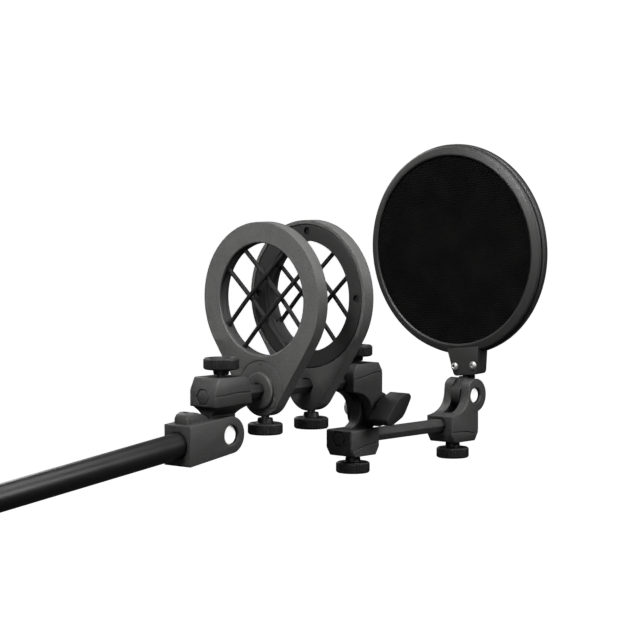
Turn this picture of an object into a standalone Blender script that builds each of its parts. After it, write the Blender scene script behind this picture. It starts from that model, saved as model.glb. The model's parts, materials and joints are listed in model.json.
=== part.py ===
"""Studio boom-arm head: a two-ring elastic shock mount with a pop filter, on the end of a boom tube.

Metres, +Z up.  +X runs from the boom, through the two rings along the microphone's axis, to the pop
filter.  The origin is the centre of the flat outer face of the plug in the boom tube's end.
"""
from math import acos, atan, cos, degrees, pi, radians, sin, sqrt, tan

import bmesh
import bpy
from mathutils import Matrix, Vector

GAP = 0.0003                 # clearance between neighbouring pieces
WELD = 0.00001               # merge distance of turned shapes

# Main layout, measured from the centre of ring one's front face
RING_CENTRE = Vector((0.262527, 0.0, 0.114151))   # that centre, from the boom end
BAR_DROP = 0.0627            # upper hex bar below the rings' axis
LOWER_BAR_DROP = 0.1032      # lower hex bar below the rings' axis
RING_SPACING = 0.0476        # ring one's front face to ring two's front face
BOOM_PITCH = radians(6.6)    # the boom tube rises towards the clevis

# Rings
RING_R = 0.0530
RING_BASE_R = 0.0176
RING_THICK = 0.0094
BORE_R = 0.0386              # the opening that the cords cross
COVER_R = 0.0500
COVER_THICK = 0.0024
COVER_SCREW_R = 0.0452       # pitch radius of the cover screws
CARRIER_WALL_R = 0.0416      # outside of the cord carrier's sleeve
CARRIER_FLANGE_R = 0.0432
CARRIER_FLANGE = 0.0018
HUB_R = 0.0127
HUB_RISE = 0.0026
CORD_R = 0.0014
CORD_OFFSET = 0.0102         # a cord's distance from the rings' axis
CORD_BOW = 0.0016            # sideways bend where one cord passes another
CORD_HOLE_R = 0.0018

# Hexagonal bars and the clamp blocks on them
HEX_FLATS = 0.0092
HEX_BORE_FLATS = 0.0098
BLOCK_W = 0.0240
BLOCK_HALF_L = 0.0157
BLOCK_DEEP = 0.0128          # bar centre to the face on the screw's side
BLOCK_SHALLOW = 0.0068       # bar centre to the face on the pivot's side
TONGUE_W = 0.0080
SLOT_W = 0.0086
EAR_R = 0.0125
TONGUE_R = 0.0120
PIVOT_X = 0.0124             # fork pivot from its block's centre, along the bar
PIVOT_RISE = 0.0209          # fork pivot from its bar's centre

# Thumb screws
KNOB_R = 0.0121
KNOB_H = 0.0078
COLLAR_R = 0.0056
COLLAR_H = 0.0034
KNOB_STAND_OFF = 0.0013
SHANK_R = 0.0028

# Boom
TUBE_R = 0.0088
TUBE_WALL = 0.0015
TUBE_END = 0.2180            # pivot to the tube's free end, along the tube
TUBE_SEAT = 0.0190           # pivot to the tube's seated end
PLUG_FLANGE = 0.0040
CLEVIS_L = 0.0400
CLEVIS_H = 0.0270
PIN_HEAD_R = 0.0067
PIN_R = 0.0040
PIN_RECESS = 0.0042          # depth of the recess that each head of a pin sits in
PIN_HEAD_H = 0.0018

# Pop filter
POP_R = 0.0777
POP_BORE_R = 0.0705
POP_MESH_R = 0.0722
POP_REAR_R = 0.0789          # the rear half stands out round the front one
POP_HALF = 0.0057            # thickness of the front half of the round frame
POP_DEPTH = 0.0124           # thickness of both halves together
POP_YAW = radians(2.3)
POP_PITCH = radians(1.7)
POP_ROLL = radians(6.1)
POP_PIN_HEAD_R = 0.0059

ROUND = 20                   # segments of small round pieces
RING_STEPS = 52              # segments of the rings
SCREW_TURN = radians(7)      # keeps a screw hole's facets off the lines of the ring's facets

FINISHES = {
    "powder_coat": ((0.030, 0.030, 0.031), 0.55, 0.0),
    "satin_tube": ((0.012, 0.012, 0.012), 0.32, 0.0),
    "knob_black": ((0.018, 0.018, 0.018), 0.45, 0.0),
    "bare_steel": ((0.62, 0.62, 0.62), 0.30, 1.0),
    "elastic_cord": ((0.014, 0.014, 0.014), 0.80, 0.0),
    "filter_mesh": ((0.008, 0.008, 0.008), 0.75, 0.0),
    "black_oxide": ((0.020, 0.020, 0.020), 0.40, 0.0),
    "nylon_black": ((0.016, 0.016, 0.016), 0.60, 0.0),
}


# ---------------------------------------------------------------- scene

def clear_scene():
    for obj in list(bpy.data.objects):
        bpy.data.objects.remove(obj, do_unlink=True)


def make_collection(name):
    group = bpy.data.collections.new(name)
    bpy.context.scene.collection.children.link(group)
    return group


def make_finish(name):
    colour, roughness, metallic = FINISHES[name]
    material = bpy.data.materials.new(name)
    material.use_nodes = True
    shader = material.node_tree.nodes["Principled BSDF"]
    shader.inputs["Base Color"].default_value = (*colour, 1.0)
    shader.inputs["Roughness"].default_value = roughness
    shader.inputs["Metallic"].default_value = metallic
    return material


clear_scene()
PARTS = make_collection("boom_shock_mount")
CUTTERS = make_collection("cutters")
MATERIALS = {name: make_finish(name) for name in FINISHES}


# ---------------------------------------------------------------- building blocks

def at(x, y, z):
    """World place of a point given from the centre of ring one's front face."""
    return RING_CENTRE + Vector((x, y, z))


def side_frame(origin):
    """Outline x, y become world X, Z; the thickness lies along Y."""
    return Matrix.Translation(origin) @ Matrix.Rotation(pi / 2, 4, "X")


def front_frame(origin):
    """Outline x, y become world Y, Z; the thickness lies along X."""
    turn = Matrix(((0, 0, 1, 0), (1, 0, 0, 0), (0, 1, 0, 0), (0, 0, 0, 1)))
    return Matrix.Translation(origin) @ turn


def along(axis, origin, turn=0.0):
    """A frame at origin whose local Z points along a world direction, turned about it."""
    aim = Vector(axis).to_track_quat("Z", "Y").to_matrix().to_4x4()
    return Matrix.Translation(origin) @ aim @ Matrix.Rotation(turn, 4, "Z")


def new_object(name, data, frame, finish=None):
    """A part when it has a finish, otherwise a cutter."""
    obj = bpy.data.objects.new(name, data)
    obj.matrix_world = frame
    if finish:
        PARTS.objects.link(obj)
        data.materials.append(MATERIALS[finish])
    else:
        CUTTERS.objects.link(obj)
        obj.hide_render = True
        obj.display_type = "WIRE"
    return obj


def arc(centre_x, centre_y, radius, start, end, steps):
    """Points of an arc from start to end, in degrees."""
    angles = [radians(start + (end - start) * i / steps) for i in range(steps + 1)]
    return [(centre_x + radius * cos(a), centre_y + radius * sin(a)) for a in angles]


def circle(centre_x, centre_y, radius, steps):
    return arc(centre_x, centre_y, radius, 0, 360, steps)[:-1]


def plate(name, outlines, thickness, frame, finish=None):
    """A flat piece: closed outlines, extruded evenly to both sides of the frame's plane."""
    curve = bpy.data.curves.new(name, "CURVE")
    curve.dimensions = "2D"
    curve.fill_mode = "BOTH"
    curve.extrude = thickness / 2
    for outline in outlines:
        spline = curve.splines.new("POLY")
        spline.points.add(len(outline) - 1)
        spline.use_cyclic_u = True
        for point, (x, y) in zip(spline.points, outline):
            point.co = (x, y, 0.0, 1.0)
    source = bpy.data.objects.new(name, curve)
    bpy.context.scene.collection.objects.link(source)
    bpy.context.view_layer.update()
    evaluated = source.evaluated_get(bpy.context.evaluated_depsgraph_get())
    mesh = bpy.data.meshes.new_from_object(evaluated)
    bpy.data.objects.remove(source, do_unlink=True)
    weld_and_orient(mesh)
    mesh.name = name
    return new_object(name, mesh, frame, finish)


def weld_and_orient(mesh):
    shape = bmesh.new()
    shape.from_mesh(mesh)
    bmesh.ops.remove_doubles(shape, verts=shape.verts, dist=WELD)
    bmesh.ops.recalc_face_normals(shape, faces=shape.faces)
    shape.to_mesh(mesh)
    shape.free()


def turned(name, profile, frame, finish=None, steps=ROUND, closed=False):
    """A turned piece: (radius, height) points that run down the outer side, about local Z."""
    mesh = bpy.data.meshes.new(name)
    count = len(profile)
    edges = [(i, i + 1) for i in range(count - 1)]
    if closed:
        edges.append((count - 1, 0))
    mesh.from_pydata([(r, 0.0, h) for r, h in profile], edges, [])
    obj = new_object(name, mesh, frame, finish)
    screw = obj.modifiers.new("turn", "SCREW")
    screw.steps = steps
    screw.render_steps = steps
    screw.use_merge_vertices = True
    screw.merge_threshold = WELD
    return obj


def rod(name, radius, low, high, frame, finish=None, steps=ROUND):
    """A plain cylinder from low to high along local Z."""
    return turned(name, [(0, high), (radius, high), (radius, low), (0, low)], frame, finish, steps)


def box(name, size, frame, finish=None):
    mesh = bpy.data.meshes.new(name)
    shape = bmesh.new()
    bmesh.ops.create_cube(shape, size=1.0)
    bmesh.ops.scale(shape, vec=size, verts=shape.verts)
    shape.to_mesh(mesh)
    shape.free()
    return new_object(name, mesh, frame, finish)


def hexagon(name, flats, low, high, origin, finish=None):
    """A hexagonal prism along X with flats above and below, from low to high past the origin."""
    mesh = bpy.data.meshes.new(name)
    shape = bmesh.new()
    corner_r = flats / sqrt(3)
    length = high - low
    bmesh.ops.create_cone(shape, cap_ends=True, segments=6, radius1=corner_r, radius2=corner_r, depth=length)
    bmesh.ops.translate(shape, verts=shape.verts, vec=(0, 0, (low + high) / 2))
    bmesh.ops.rotate(shape, verts=shape.verts, matrix=Matrix.Rotation(pi / 2, 3, "Y"))
    shape.to_mesh(mesh)
    shape.free()
    return new_object(name, mesh, Matrix.Translation(origin), finish)


def loft(name, sections, frame, finish=None):
    """A solid through rectangular sections (half length, half width, centre x, height)."""
    mesh = bpy.data.meshes.new(name)
    shape = bmesh.new()
    loops = []
    for half_l, half_w, centre, height in sections:
        corners = ((-1, -1), (1, -1), (1, 1), (-1, 1))
        loops.append([shape.verts.new((centre + sx * half_l, sy * half_w, height)) for sx, sy in corners])
    for lower, upper in zip(loops, loops[1:]):
        for i in range(4):
            shape.faces.new((lower[i], lower[i - 1], upper[i - 1], upper[i]))
    shape.faces.new(loops[0])
    shape.faces.new(loops[-1])
    bmesh.ops.recalc_face_normals(shape, faces=shape.faces)
    shape.to_mesh(mesh)
    shape.free()
    return new_object(name, mesh, frame, finish)


def bevel(obj, width, segments=1):
    modifier = obj.modifiers.new("rounded_edges", "BEVEL")
    modifier.width = width
    modifier.segments = segments
    modifier.limit_method = "ANGLE"
    modifier.angle_limit = radians(35)


def combine(obj, tool, operation):
    modifier = obj.modifiers.new(tool.name, "BOOLEAN")
    modifier.operation = operation
    modifier.solver = "EXACT"
    modifier.object = tool


def cut(obj, *tools):
    for tool in tools:
        combine(obj, tool, "DIFFERENCE")


def join(obj, *tools):
    for tool in tools:
        combine(obj, tool, "UNION")


# ---------------------------------------------------------------- boom tube and clevis

CLEVIS_PIVOT = at(-0.0417, 0, -0.0886)
UPPER_BAR = at(0, 0, -BAR_DROP)
LOWER_BAR = at(0, 0, -LOWER_BAR_DROP)
HEAD_X = -0.0391             # centre of the left head along the bar
HEAD_HALF_L = 0.0182
RIGHT_HEAD_X = 0.09995
SLIDER_X = 0.09715
POP_CLAMP_X = 0.2117
ARM_PIVOT = UPPER_BAR + Vector((RIGHT_HEAD_X + PIVOT_X, 0, -PIVOT_RISE))
POP_PIVOT = LOWER_BAR + Vector((POP_CLAMP_X + PIVOT_X, 0, PIVOT_RISE))


def boom_frame():
    """Local X runs up the boom tube from the clevis pivot, local Z stands square to it."""
    return Matrix.Translation(CLEVIS_PIVOT) @ Matrix.Rotation(-BOOM_PITCH, 4, "Y")


def boom_axis_frame():
    """Local Z runs up the boom tube."""
    return boom_frame() @ Matrix.Rotation(pi / 2, 4, "Y")


def make_boom_tube():
    inner_r = TUBE_R - TUBE_WALL
    profile = [(inner_r, -TUBE_SEAT), (TUBE_R, -TUBE_SEAT), (TUBE_R, -TUBE_END), (inner_r, -TUBE_END)]
    turned("boom_tube", profile, boom_axis_frame(), "satin_tube", 32, closed=True)


def make_end_plug():
    spigot_r = TUBE_R - TUBE_WALL - GAP
    flange_top = -TUBE_END - GAP
    spigot_top = -TUBE_END + 0.016
    low = flange_top - PLUG_FLANGE
    profile = [(0, spigot_top), (spigot_r - 0.001, spigot_top), (spigot_r, spigot_top - 0.001),
               (spigot_r, flange_top), (TUBE_R, flange_top), (TUBE_R, low + 0.0008),
               (TUBE_R - 0.0008, low), (0, low)]
    turned("boom_end_plug", profile, boom_axis_frame(), "nylon_black", 32)


def ear_outline(radius, length, half_height, steps=14):
    """A bar with a round end about the origin that widens to its upright end at -length."""
    lean = degrees(atan((half_height - radius) / length))
    rounded = arc(0, 0, radius, -90 - lean, 90 + lean, steps)
    upright = half_height * tan(BOOM_PITCH)
    return rounded + [(upright - length, half_height), (-upright - length, -half_height)]


def make_clevis():
    side = boom_frame() @ Matrix.Rotation(pi / 2, 4, "X")
    clevis = plate("boom_clevis", [ear_outline(EAR_R, CLEVIS_L, CLEVIS_H / 2)], BLOCK_W, side, "powder_coat")
    bevel(clevis, 0.0008)
    hump_outline = [(-0.0130, 0.0060), (-0.0130, 0.0125), (-0.0165, 0.0155), (-0.0205, 0.0180),
                    (-0.0255, 0.0200), (-0.0290, 0.0205), (-0.0325, 0.0195), (-0.0345, 0.0170),
                    (-0.0350, 0.0125), (-0.0350, 0.0060)]
    hump = plate("clevis_hump", [hump_outline], 0.0130, side)
    bevel(hump, 0.0010, 2)
    join(clevis, hump)
    slot = box("clevis_slot", (0.0300, SLOT_W, 0.0400), boom_frame() @ Matrix.Translation((0.0015, 0, 0)))
    bore = rod("clevis_bore", TUBE_R + GAP, -CLEVIS_L - 0.005, -TUBE_SEAT + GAP, boom_axis_frame(), steps=32)
    grub_hole = rod("grub_hole", 0.0028, 0.0050, 0.0260,
                    boom_frame() @ Matrix.Translation((-0.0275, 0, 0)))
    cut(clevis, slot, bore, grub_hole)
    cut_pin_holes(clevis, CLEVIS_PIVOT, PIN_HEAD_R)
    frame = boom_frame() @ Matrix.Translation((-0.0275, 0, 0))
    low = TUBE_R + GAP
    high = 0.0170
    profile = [(0, high - 0.0014), (0.0013, high - 0.0014), (0.0013, high), (0.0025, high),
               (0.0025, low + 0.0006), (0.0019, low), (0, low)]
    turned("clevis_grub_screw", profile, frame, "bare_steel", 16)


def cut_pin_holes(fork, pivot, head_r):
    """A pin hole across both ears, with a round recess for the pin's head on each side."""
    name = fork.name
    across = along((0, -1, 0), pivot)
    half = BLOCK_W / 2
    hole = rod(name + "_pin_hole", PIN_R + GAP, -0.03, 0.03, across)
    near = rod(name + "_near_recess", head_r + GAP, half - PIN_RECESS, half + 0.005, across)
    far = rod(name + "_far_recess", head_r + GAP, -half - 0.005, -half + PIN_RECESS, across)
    cut(fork, hole, near, far)


def make_pin(name, pivot, head_r):
    """A pivot pin with a low head at each end, closed over the ears."""
    seat = BLOCK_W / 2 - PIN_RECESS + GAP
    top = seat + PIN_HEAD_H
    half = [(0, top), (head_r - 0.0008, top), (head_r, top - 0.0006), (head_r, seat), (PIN_R, seat)]
    profile = half + [(r, -h) for r, h in reversed(half)]
    turned(name, profile, along((0, -1, 0), pivot), "bare_steel")


# ---------------------------------------------------------------- clamp blocks

def make_left_head():
    """Block on the upper bar over a waisted neck and a tongue that swings in the clevis."""
    origin = UPPER_BAR + Vector((HEAD_X, 0, 0))
    half = HEAD_HALF_L
    outline = [(-half, -BLOCK_SHALLOW), (half, -BLOCK_SHALLOW + 0.001), (half - 0.0014, 0.0069),
               (half - 0.0055, BLOCK_DEEP), (-half + 0.0042, BLOCK_DEEP), (-half, 0.0043)]
    head = plate("left_head", [outline], BLOCK_W, side_frame(origin), "powder_coat")
    bevel(head, 0.0008)
    pivot = CLEVIS_PIVOT - origin
    neck = loft("left_head_neck", [(0.0172, 0.0108, 0, -0.0058), (0.0153, 0.0094, -0.0006, -0.0078),
                                   (0.0132, 0.0068, -0.0016, -0.0100), (0.0120, 0.0040, pivot.x, -0.0128)],
                Matrix.Translation(origin))
    tongue_outline = arc(0, 0, TONGUE_R, 180, 360, 14) + [(TONGUE_R, 0.0150), (-TONGUE_R, 0.0150)]
    tongue = plate("left_head_tongue", [tongue_outline], TONGUE_W, side_frame(CLEVIS_PIVOT))
    join(head, neck, tongue)
    cut(head, hex_bore("left_head", origin, half), screw_hole("left_head", origin, 1),
        rod("left_head_pin_hole", PIN_R + GAP, -0.02, 0.02, along((0, 1, 0), CLEVIS_PIVOT)))


def hex_bore(name, origin, half):
    return hexagon(name + "_hex_bore", HEX_BORE_FLATS, -half - 0.01, half + 0.01, origin)


def screw_hole(name, origin, side):
    """Clearance hole for a thumb screw, above the bar (side 1) or below it (side -1)."""
    return rod(name + "_screw_hole", SHANK_R + GAP, 0.0, 0.03, along((0, 0, side), origin))


def fork_outline():
    """Side view of a fork block: the block round the bar, and ears that sweep up to the pivot."""
    low = -BLOCK_DEEP
    half = BLOCK_HALF_L
    ear = arc(PIVOT_X, PIVOT_RISE, EAR_R, -75, 90, 12)
    swept = [(0.0080, 0.0321), (0.0056, 0.0296), (0.0047, 0.0255), (0.0042, 0.0205), (0.0024, 0.0155),
             (-0.0008, 0.0118), (-0.0050, 0.0092), (-0.0100, 0.0076), (-half, BLOCK_SHALLOW)]
    return [(-half, -0.0065), (-half + 0.0040, low), (half - 0.0040, low), (half, -0.0065)] + ear + swept


def make_fork_block(name, origin, side):
    """Clamp block with a fork: ears above the bar (side 1), or the same part upside down (-1)."""
    flip = Matrix.Rotation(0 if side > 0 else pi, 4, "X")
    block = plate(name, [fork_outline()], BLOCK_W, side_frame(origin) @ flip, "powder_coat")
    bevel(block, 0.0008)
    slot_low = BLOCK_SHALLOW + 0.0012
    slot = box(name + "_slot", (0.08, SLOT_W, 0.04),
               Matrix.Translation(origin + Vector((0, 0, side * (slot_low + 0.02)))))
    cut(block, slot, hex_bore(name, origin, BLOCK_HALF_L), screw_hole(name, origin, -side))
    return block


def make_slider():
    """Clamp block on the lower bar, with the tongue that swings in the right head's fork."""
    origin = LOWER_BAR + Vector((SLIDER_X, 0, 0))
    half = BLOCK_HALF_L
    outline = [(-half, -0.0068), (-half + 0.0038, -BLOCK_DEEP), (half - 0.0038, -BLOCK_DEEP), (half, -0.0068),
               (half, BLOCK_SHALLOW - 0.0006), (-half, BLOCK_SHALLOW - 0.0006)]
    block = plate("arm_slider", [outline], BLOCK_W, side_frame(origin), "powder_coat")
    bevel(block, 0.0014, 2)
    pivot = ARM_PIVOT - origin
    ear = arc(pivot.x, pivot.z, TONGUE_R, -60, 180, 16)
    swept = [(pivot.x - TONGUE_R - 0.0004, 0.0155), (0.0006, 0.0112), (-0.0032, 0.0082), (-0.0090, 0.0056)]
    tongue = plate("arm_slider_tongue", [ear + swept + [(-0.0090, 0.0030), (half - 0.001, 0.0030)]],
                   TONGUE_W, side_frame(origin))
    root = loft("arm_slider_root", [(0.0110, 0.0085, 0.0030, 0.0040), (0.0104, 0.0064, 0.0030, 0.0064),
                                    (0.0098, 0.0040, 0.0030, 0.0071)], Matrix.Translation(origin))
    join(block, root, tongue)
    cut(block, hex_bore("arm_slider", origin, half), screw_hole("arm_slider", origin, -1),
        rod("arm_slider_bolt_hole", PIN_R + GAP, -0.02, 0.02, along((0, 1, 0), ARM_PIVOT)))


def make_bars():
    """Both bars start flush in one block's face and end flush in another's."""
    upper = hexagon("upper_hex_bar", HEX_FLATS, HEAD_X - HEAD_HALF_L, RIGHT_HEAD_X + BLOCK_HALF_L,
                    UPPER_BAR, "black_oxide")
    lower = hexagon("lower_hex_bar", HEX_FLATS, SLIDER_X - BLOCK_HALF_L, POP_CLAMP_X + BLOCK_HALF_L,
                    LOWER_BAR, "black_oxide")
    bevel(upper, 0.0004)
    bevel(lower, 0.0004)


# ---------------------------------------------------------------- thumb screws and the wing lever

def make_thumb_screw(name, seat, side, bar_z):
    """Knob and steel shank; seat is the block face's centre, side 1 stands up and -1 hangs down."""
    frame = along((0, 0, side), seat)
    low = KNOB_STAND_OFF
    collar = low + COLLAR_H
    top = collar + KNOB_H
    shank_top = top - 0.0030
    hole_r = SHANK_R + GAP
    knob = [(0, top - 0.0010), (0.0064, top - 0.0010), (0.0078, top), (KNOB_R - 0.0010, top),
            (KNOB_R, top - 0.0010), (KNOB_R, collar + 0.0010), (KNOB_R - 0.0012, collar),
            (COLLAR_R, collar), (COLLAR_R - 0.0004, low), (hole_r, low), (hole_r, shank_top + GAP),
            (0, shank_top + GAP)]
    turned(name + "_knob", knob, frame, "knob_black")
    reach = abs(seat.z - bar_z) - HEX_FLATS / 2 - GAP
    shank = [(0, shank_top), (SHANK_R, shank_top), (SHANK_R, -reach + 0.0008), (SHANK_R - 0.0008, -reach),
             (0, -reach)]
    turned(name + "_shank", shank, frame, "bare_steel", 16)


def make_thumb_screws():
    upper_z, lower_z = UPPER_BAR.z, LOWER_BAR.z
    make_thumb_screw("thumb_left_head", UPPER_BAR + Vector((HEAD_X, 0, BLOCK_DEEP)), 1, upper_z)
    for number, start in ((1, 0.0), (2, RING_SPACING)):
        seat = UPPER_BAR + Vector((start + RING_THICK / 2, 0, -RING_BASE_R))
        make_thumb_screw("thumb_ring_%d" % number, seat, -1, upper_z)
    make_thumb_screw("thumb_right_head", UPPER_BAR + Vector((RIGHT_HEAD_X, 0, BLOCK_DEEP)), 1, upper_z)
    make_thumb_screw("thumb_slider", LOWER_BAR + Vector((SLIDER_X, 0, -BLOCK_DEEP)), -1, lower_z)
    make_thumb_screw("thumb_pop_clamp", LOWER_BAR + Vector((POP_CLAMP_X, 0, -BLOCK_DEEP)), -1, lower_z)


WING_FRONT = 0.0320          # outer face of the wing, from the bars' plane
WING_BACK = 0.0155
WING_OUTLINE = ((0.0087, 0.0126), (-0.0038, 0.0078), (-0.0160, -0.0058), (-0.0128, -0.0099), (-0.0089, -0.0093),
                (0.0022, -0.0044), (0.0055, -0.0005), (0.0118, 0.0095))


def make_wing_lever():
    """Wing grip, its hub, and the steel bolt with a nut that squeezes the fork."""
    centre = ARM_PIVOT + Vector((0, -(WING_FRONT + WING_BACK) / 2, 0))
    wing = plate("wing_lever", [WING_OUTLINE], WING_FRONT - WING_BACK, side_frame(centre), "knob_black")
    bevel(wing, 0.0011)
    across = along((0, -1, 0), ARM_PIVOT)
    half = BLOCK_W / 2
    hub = turned("wing_hub", [(0, WING_BACK + 0.004), (0.0050, WING_BACK + 0.004), (0.0054, half + GAP),
                              (0, half + GAP)], across)
    join(wing, hub)
    bolt_end = WING_BACK + 0.0080
    cut(wing, rod("wing_bolt_hole", PIN_R + GAP, 0.0, bolt_end + GAP, across))
    nut_face = -half - GAP
    nut_back = nut_face - 0.0042
    bolt = [(0, bolt_end), (PIN_R, bolt_end), (PIN_R, nut_face), (0.0066, nut_face),
            (0.0066, nut_back + 0.0007), (0.0058, nut_back), (0, nut_back)]
    turned("wing_bolt", bolt, across, "bare_steel")


# ---------------------------------------------------------------- shock mount rings

def teardrop():
    """Circle of the ring, tangent sides, and the round base about the bar."""
    spread = degrees(acos((RING_R - RING_BASE_R) / BAR_DROP))
    upper = arc(0, 0, RING_R, -90 + spread, 270 - spread, 52)
    lower = arc(0, -BAR_DROP, RING_BASE_R, 270 - spread, 270 + spread, 14)
    return upper + lower


def cord_lines():
    """Name, direction in the ring's plane and offset from the axis of the four cords."""
    rising, falling = Vector((0, 1, 1)).normalized(), Vector((0, -1, 1)).normalized()
    return (("rising_upper", rising, falling * CORD_OFFSET), ("rising_lower", rising, -falling * CORD_OFFSET),
            ("falling_upper", falling, rising * CORD_OFFSET), ("falling_lower", falling, -rising * CORD_OFFSET))


def chord(radius):
    """Half length of a cord line inside a circle of this radius."""
    return sqrt(radius ** 2 - CORD_OFFSET ** 2)


class Ring:
    """Depths along X from a ring's front face, which looks at the boom."""

    def __init__(self, number, start, cover_side, carrier, cord_depth, spare_depth):
        self.name = "ring_%d" % number
        self.centre = at(start, 0, 0)
        self.cover_side = cover_side        # 1: cover on the +X face, -1: on the -X face
        self.carrier = carrier              # depths of the cord carrier's two ends
        self.cord_depth = cord_depth
        self.spare_depth = spare_depth      # a second row of cord holes, or None

    def depth_frame(self):
        """Local Z runs from the front face along +X."""
        return along((1, 0, 0), self.centre)

    def cover_depths(self):
        if self.cover_side > 0:
            return RING_THICK - COVER_THICK, RING_THICK
        return 0.0, COVER_THICK

    def flange_depths(self):
        cover = self.cover_depths()
        if self.cover_side > 0:
            return cover[0] - GAP - CARRIER_FLANGE, cover[0] - GAP
        return cover[1] + GAP, cover[1] + GAP + CARRIER_FLANGE


RINGS = (Ring(1, 0.0, 1, (0.0026, 0.0), 0.0048, None), Ring(2, RING_SPACING, -1, (0.0, 0.0126), 0.0109, 0.0063))


def stepped_bore(ring):
    """Cutter for everything that lies inside a ring frame: bore, carrier seat and cover recess."""
    cover = ring.cover_depths()
    flange = ring.flange_depths()
    wall_r, flange_r, cover_r = CARRIER_WALL_R + GAP, CARRIER_FLANGE_R + GAP, COVER_R + GAP
    beyond = RING_THICK + 0.002
    if ring.cover_side > 0:
        start = ring.carrier[0] - GAP
        profile = [(0, beyond), (cover_r, beyond), (cover_r, cover[0] - GAP), (flange_r, cover[0] - GAP),
                   (flange_r, flange[0] - GAP), (wall_r, flange[0] - GAP), (wall_r, start), (BORE_R, start),
                   (BORE_R, 0.0006), (BORE_R + 0.0026, -0.002), (0, -0.002)]
    else:
        profile = [(0, beyond), (wall_r, beyond), (wall_r, flange[1] + GAP), (flange_r, flange[1] + GAP),
                   (flange_r, cover[1] + GAP), (cover_r, cover[1] + GAP), (cover_r, -0.002), (0, -0.002)]
    return turned(ring.name + "_stepped_bore", profile, ring.depth_frame(), steps=RING_STEPS)


def make_ring_frame(ring):
    """Teardrop casting, bored for the carrier, recessed for the cover, with a hub on the bar."""
    name = ring.name
    middle = ring.centre + Vector((RING_THICK / 2, 0, 0))
    body = plate(name + "_frame", [teardrop()], RING_THICK, front_frame(middle), "powder_coat")
    bevel(body, 0.0006)
    base = middle + Vector((0, 0, -BAR_DROP))
    face = RING_THICK / 2 + HUB_RISE
    hub_profile = [(0, face), (HUB_R - 0.0008, face), (HUB_R, face - 0.0008), (HUB_R, 0.001), (0, 0.001)]
    join(body, turned(name + "_hub", hub_profile, along((-ring.cover_side, 0, 0), base), steps=32))
    cut(body, stepped_bore(ring), hexagon(name + "_hex_bore", HEX_BORE_FLATS, -0.02, 0.02, base),
        screw_hole(name, base, -1))
    for number, (y, z) in enumerate(cover_screw_places(), 1):
        inward = along((ring.cover_side, 0, 0), middle + Vector((0, y, z)), SCREW_TURN)
        cut(body, rod("%s_screw_seat_%d" % (name, number), 0.0013, -0.0032, 0.01, inward, steps=12))


def cover_screw_places():
    return [(COVER_SCREW_R * cos(radians(a)), COVER_SCREW_R * sin(radians(a)))
            for a in (90, 180, 270, 0)]


def make_cover(ring):
    low, high = ring.cover_depths()
    name = ring.name + "_cover"
    profile = [(BORE_R, high), (COVER_R, high), (COVER_R, low), (BORE_R, low)]
    cover = turned(name, profile, ring.depth_frame(), "powder_coat", RING_STEPS, closed=True)
    for number, (y, z) in enumerate(cover_screw_places(), 1):
        place = ring.centre + Vector((high if ring.cover_side > 0 else low, y, z))
        outward = along((ring.cover_side, 0, 0), place, SCREW_TURN)
        cut(cover, rod("%s_hole_%d" % (name, number), 0.0013, -0.01, 0.01, outward, steps=12),
            rod("%s_head_%d" % (name, number), 0.0027, -0.0016, 0.01, outward, steps=16))
        make_cover_screw("%s_screw_%d" % (ring.name, number), outward)


def make_cover_screw(name, frame):
    """Countersunk in its counterbore: a low head and a short thread."""
    seat = -0.0016 + GAP
    profile = [(0, seat + 0.0004), (0.0009, seat + 0.0007), (0.0022, seat + 0.0007), (0.0022, seat),
               (0.0010, seat), (0.0010, -RING_THICK / 2 - 0.0016), (0, -RING_THICK / 2 - 0.0016)]
    turned(name, profile, frame, "black_oxide", 12)


def make_carrier(ring):
    """Sleeve with a flange under the cover; its wall holds the ends of the cords."""
    name = ring.name + "_cord_carrier"
    low, high = ring.flange_depths()
    if ring.cover_side > 0:
        start = ring.carrier[0]
        profile = [(BORE_R, high), (CARRIER_FLANGE_R, high), (CARRIER_FLANGE_R, low), (CARRIER_WALL_R, low),
                   (CARRIER_WALL_R, start), (BORE_R, start)]
    else:
        end = ring.carrier[1]
        profile = [(BORE_R, end), (CARRIER_WALL_R, end), (CARRIER_WALL_R, high), (CARRIER_FLANGE_R, high),
                   (CARRIER_FLANGE_R, low), (BORE_R, low)]
    carrier = turned(name, profile, ring.depth_frame(), "nylon_black", RING_STEPS, closed=True)
    reach = chord(CARRIER_WALL_R - 0.0008)
    for depth, radius in ((ring.cord_depth, CORD_HOLE_R), (ring.spare_depth, 0.0012)):
        if depth is None:
            continue
        for label, direction, offset in cord_lines():
            frame = along(direction, ring.centre + offset + Vector((depth, 0, 0)))
            cut(carrier, rod("%s_%s_%d" % (name, label, depth * 10000), radius, -reach, reach, frame, steps=12))


def make_cords(ring):
    """Four elastic cords in two crossing pairs; the falling pair passes in front."""
    for label, direction, offset in cord_lines():
        bow = -CORD_BOW if label.startswith("falling") else CORD_BOW
        end = chord(CARRIER_WALL_R - 0.0012)
        wall = chord(BORE_R)
        middle = CORD_OFFSET + 0.004
        stations = ((-end, 0.0), (-wall, 0.0), (-middle, 1.0), (0.0, 1.0), (middle, 1.0), (wall, 0.0), (end, 0.0))
        curve = bpy.data.curves.new("%s_cord_%s" % (ring.name, label), "CURVE")
        curve.dimensions = "3D"
        curve.bevel_depth = CORD_R
        curve.bevel_resolution = 1
        curve.use_fill_caps = True
        spline = curve.splines.new("POLY")
        spline.points.add(len(stations) - 1)
        for point, (along_cord, share) in zip(spline.points, stations):
            place = direction * along_cord + Vector((bow * share, 0, 0))
            point.co = (*place, 1.0)
        centre = ring.centre + offset + Vector((ring.cord_depth, 0, 0))
        new_object(curve.name, curve, Matrix.Translation(centre), "elastic_cord")


def make_rings():
    for ring in RINGS:
        make_ring_frame(ring)
        make_cover(ring)
        make_carrier(ring)
        make_cords(ring)


# ---------------------------------------------------------------- pop filter

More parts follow.
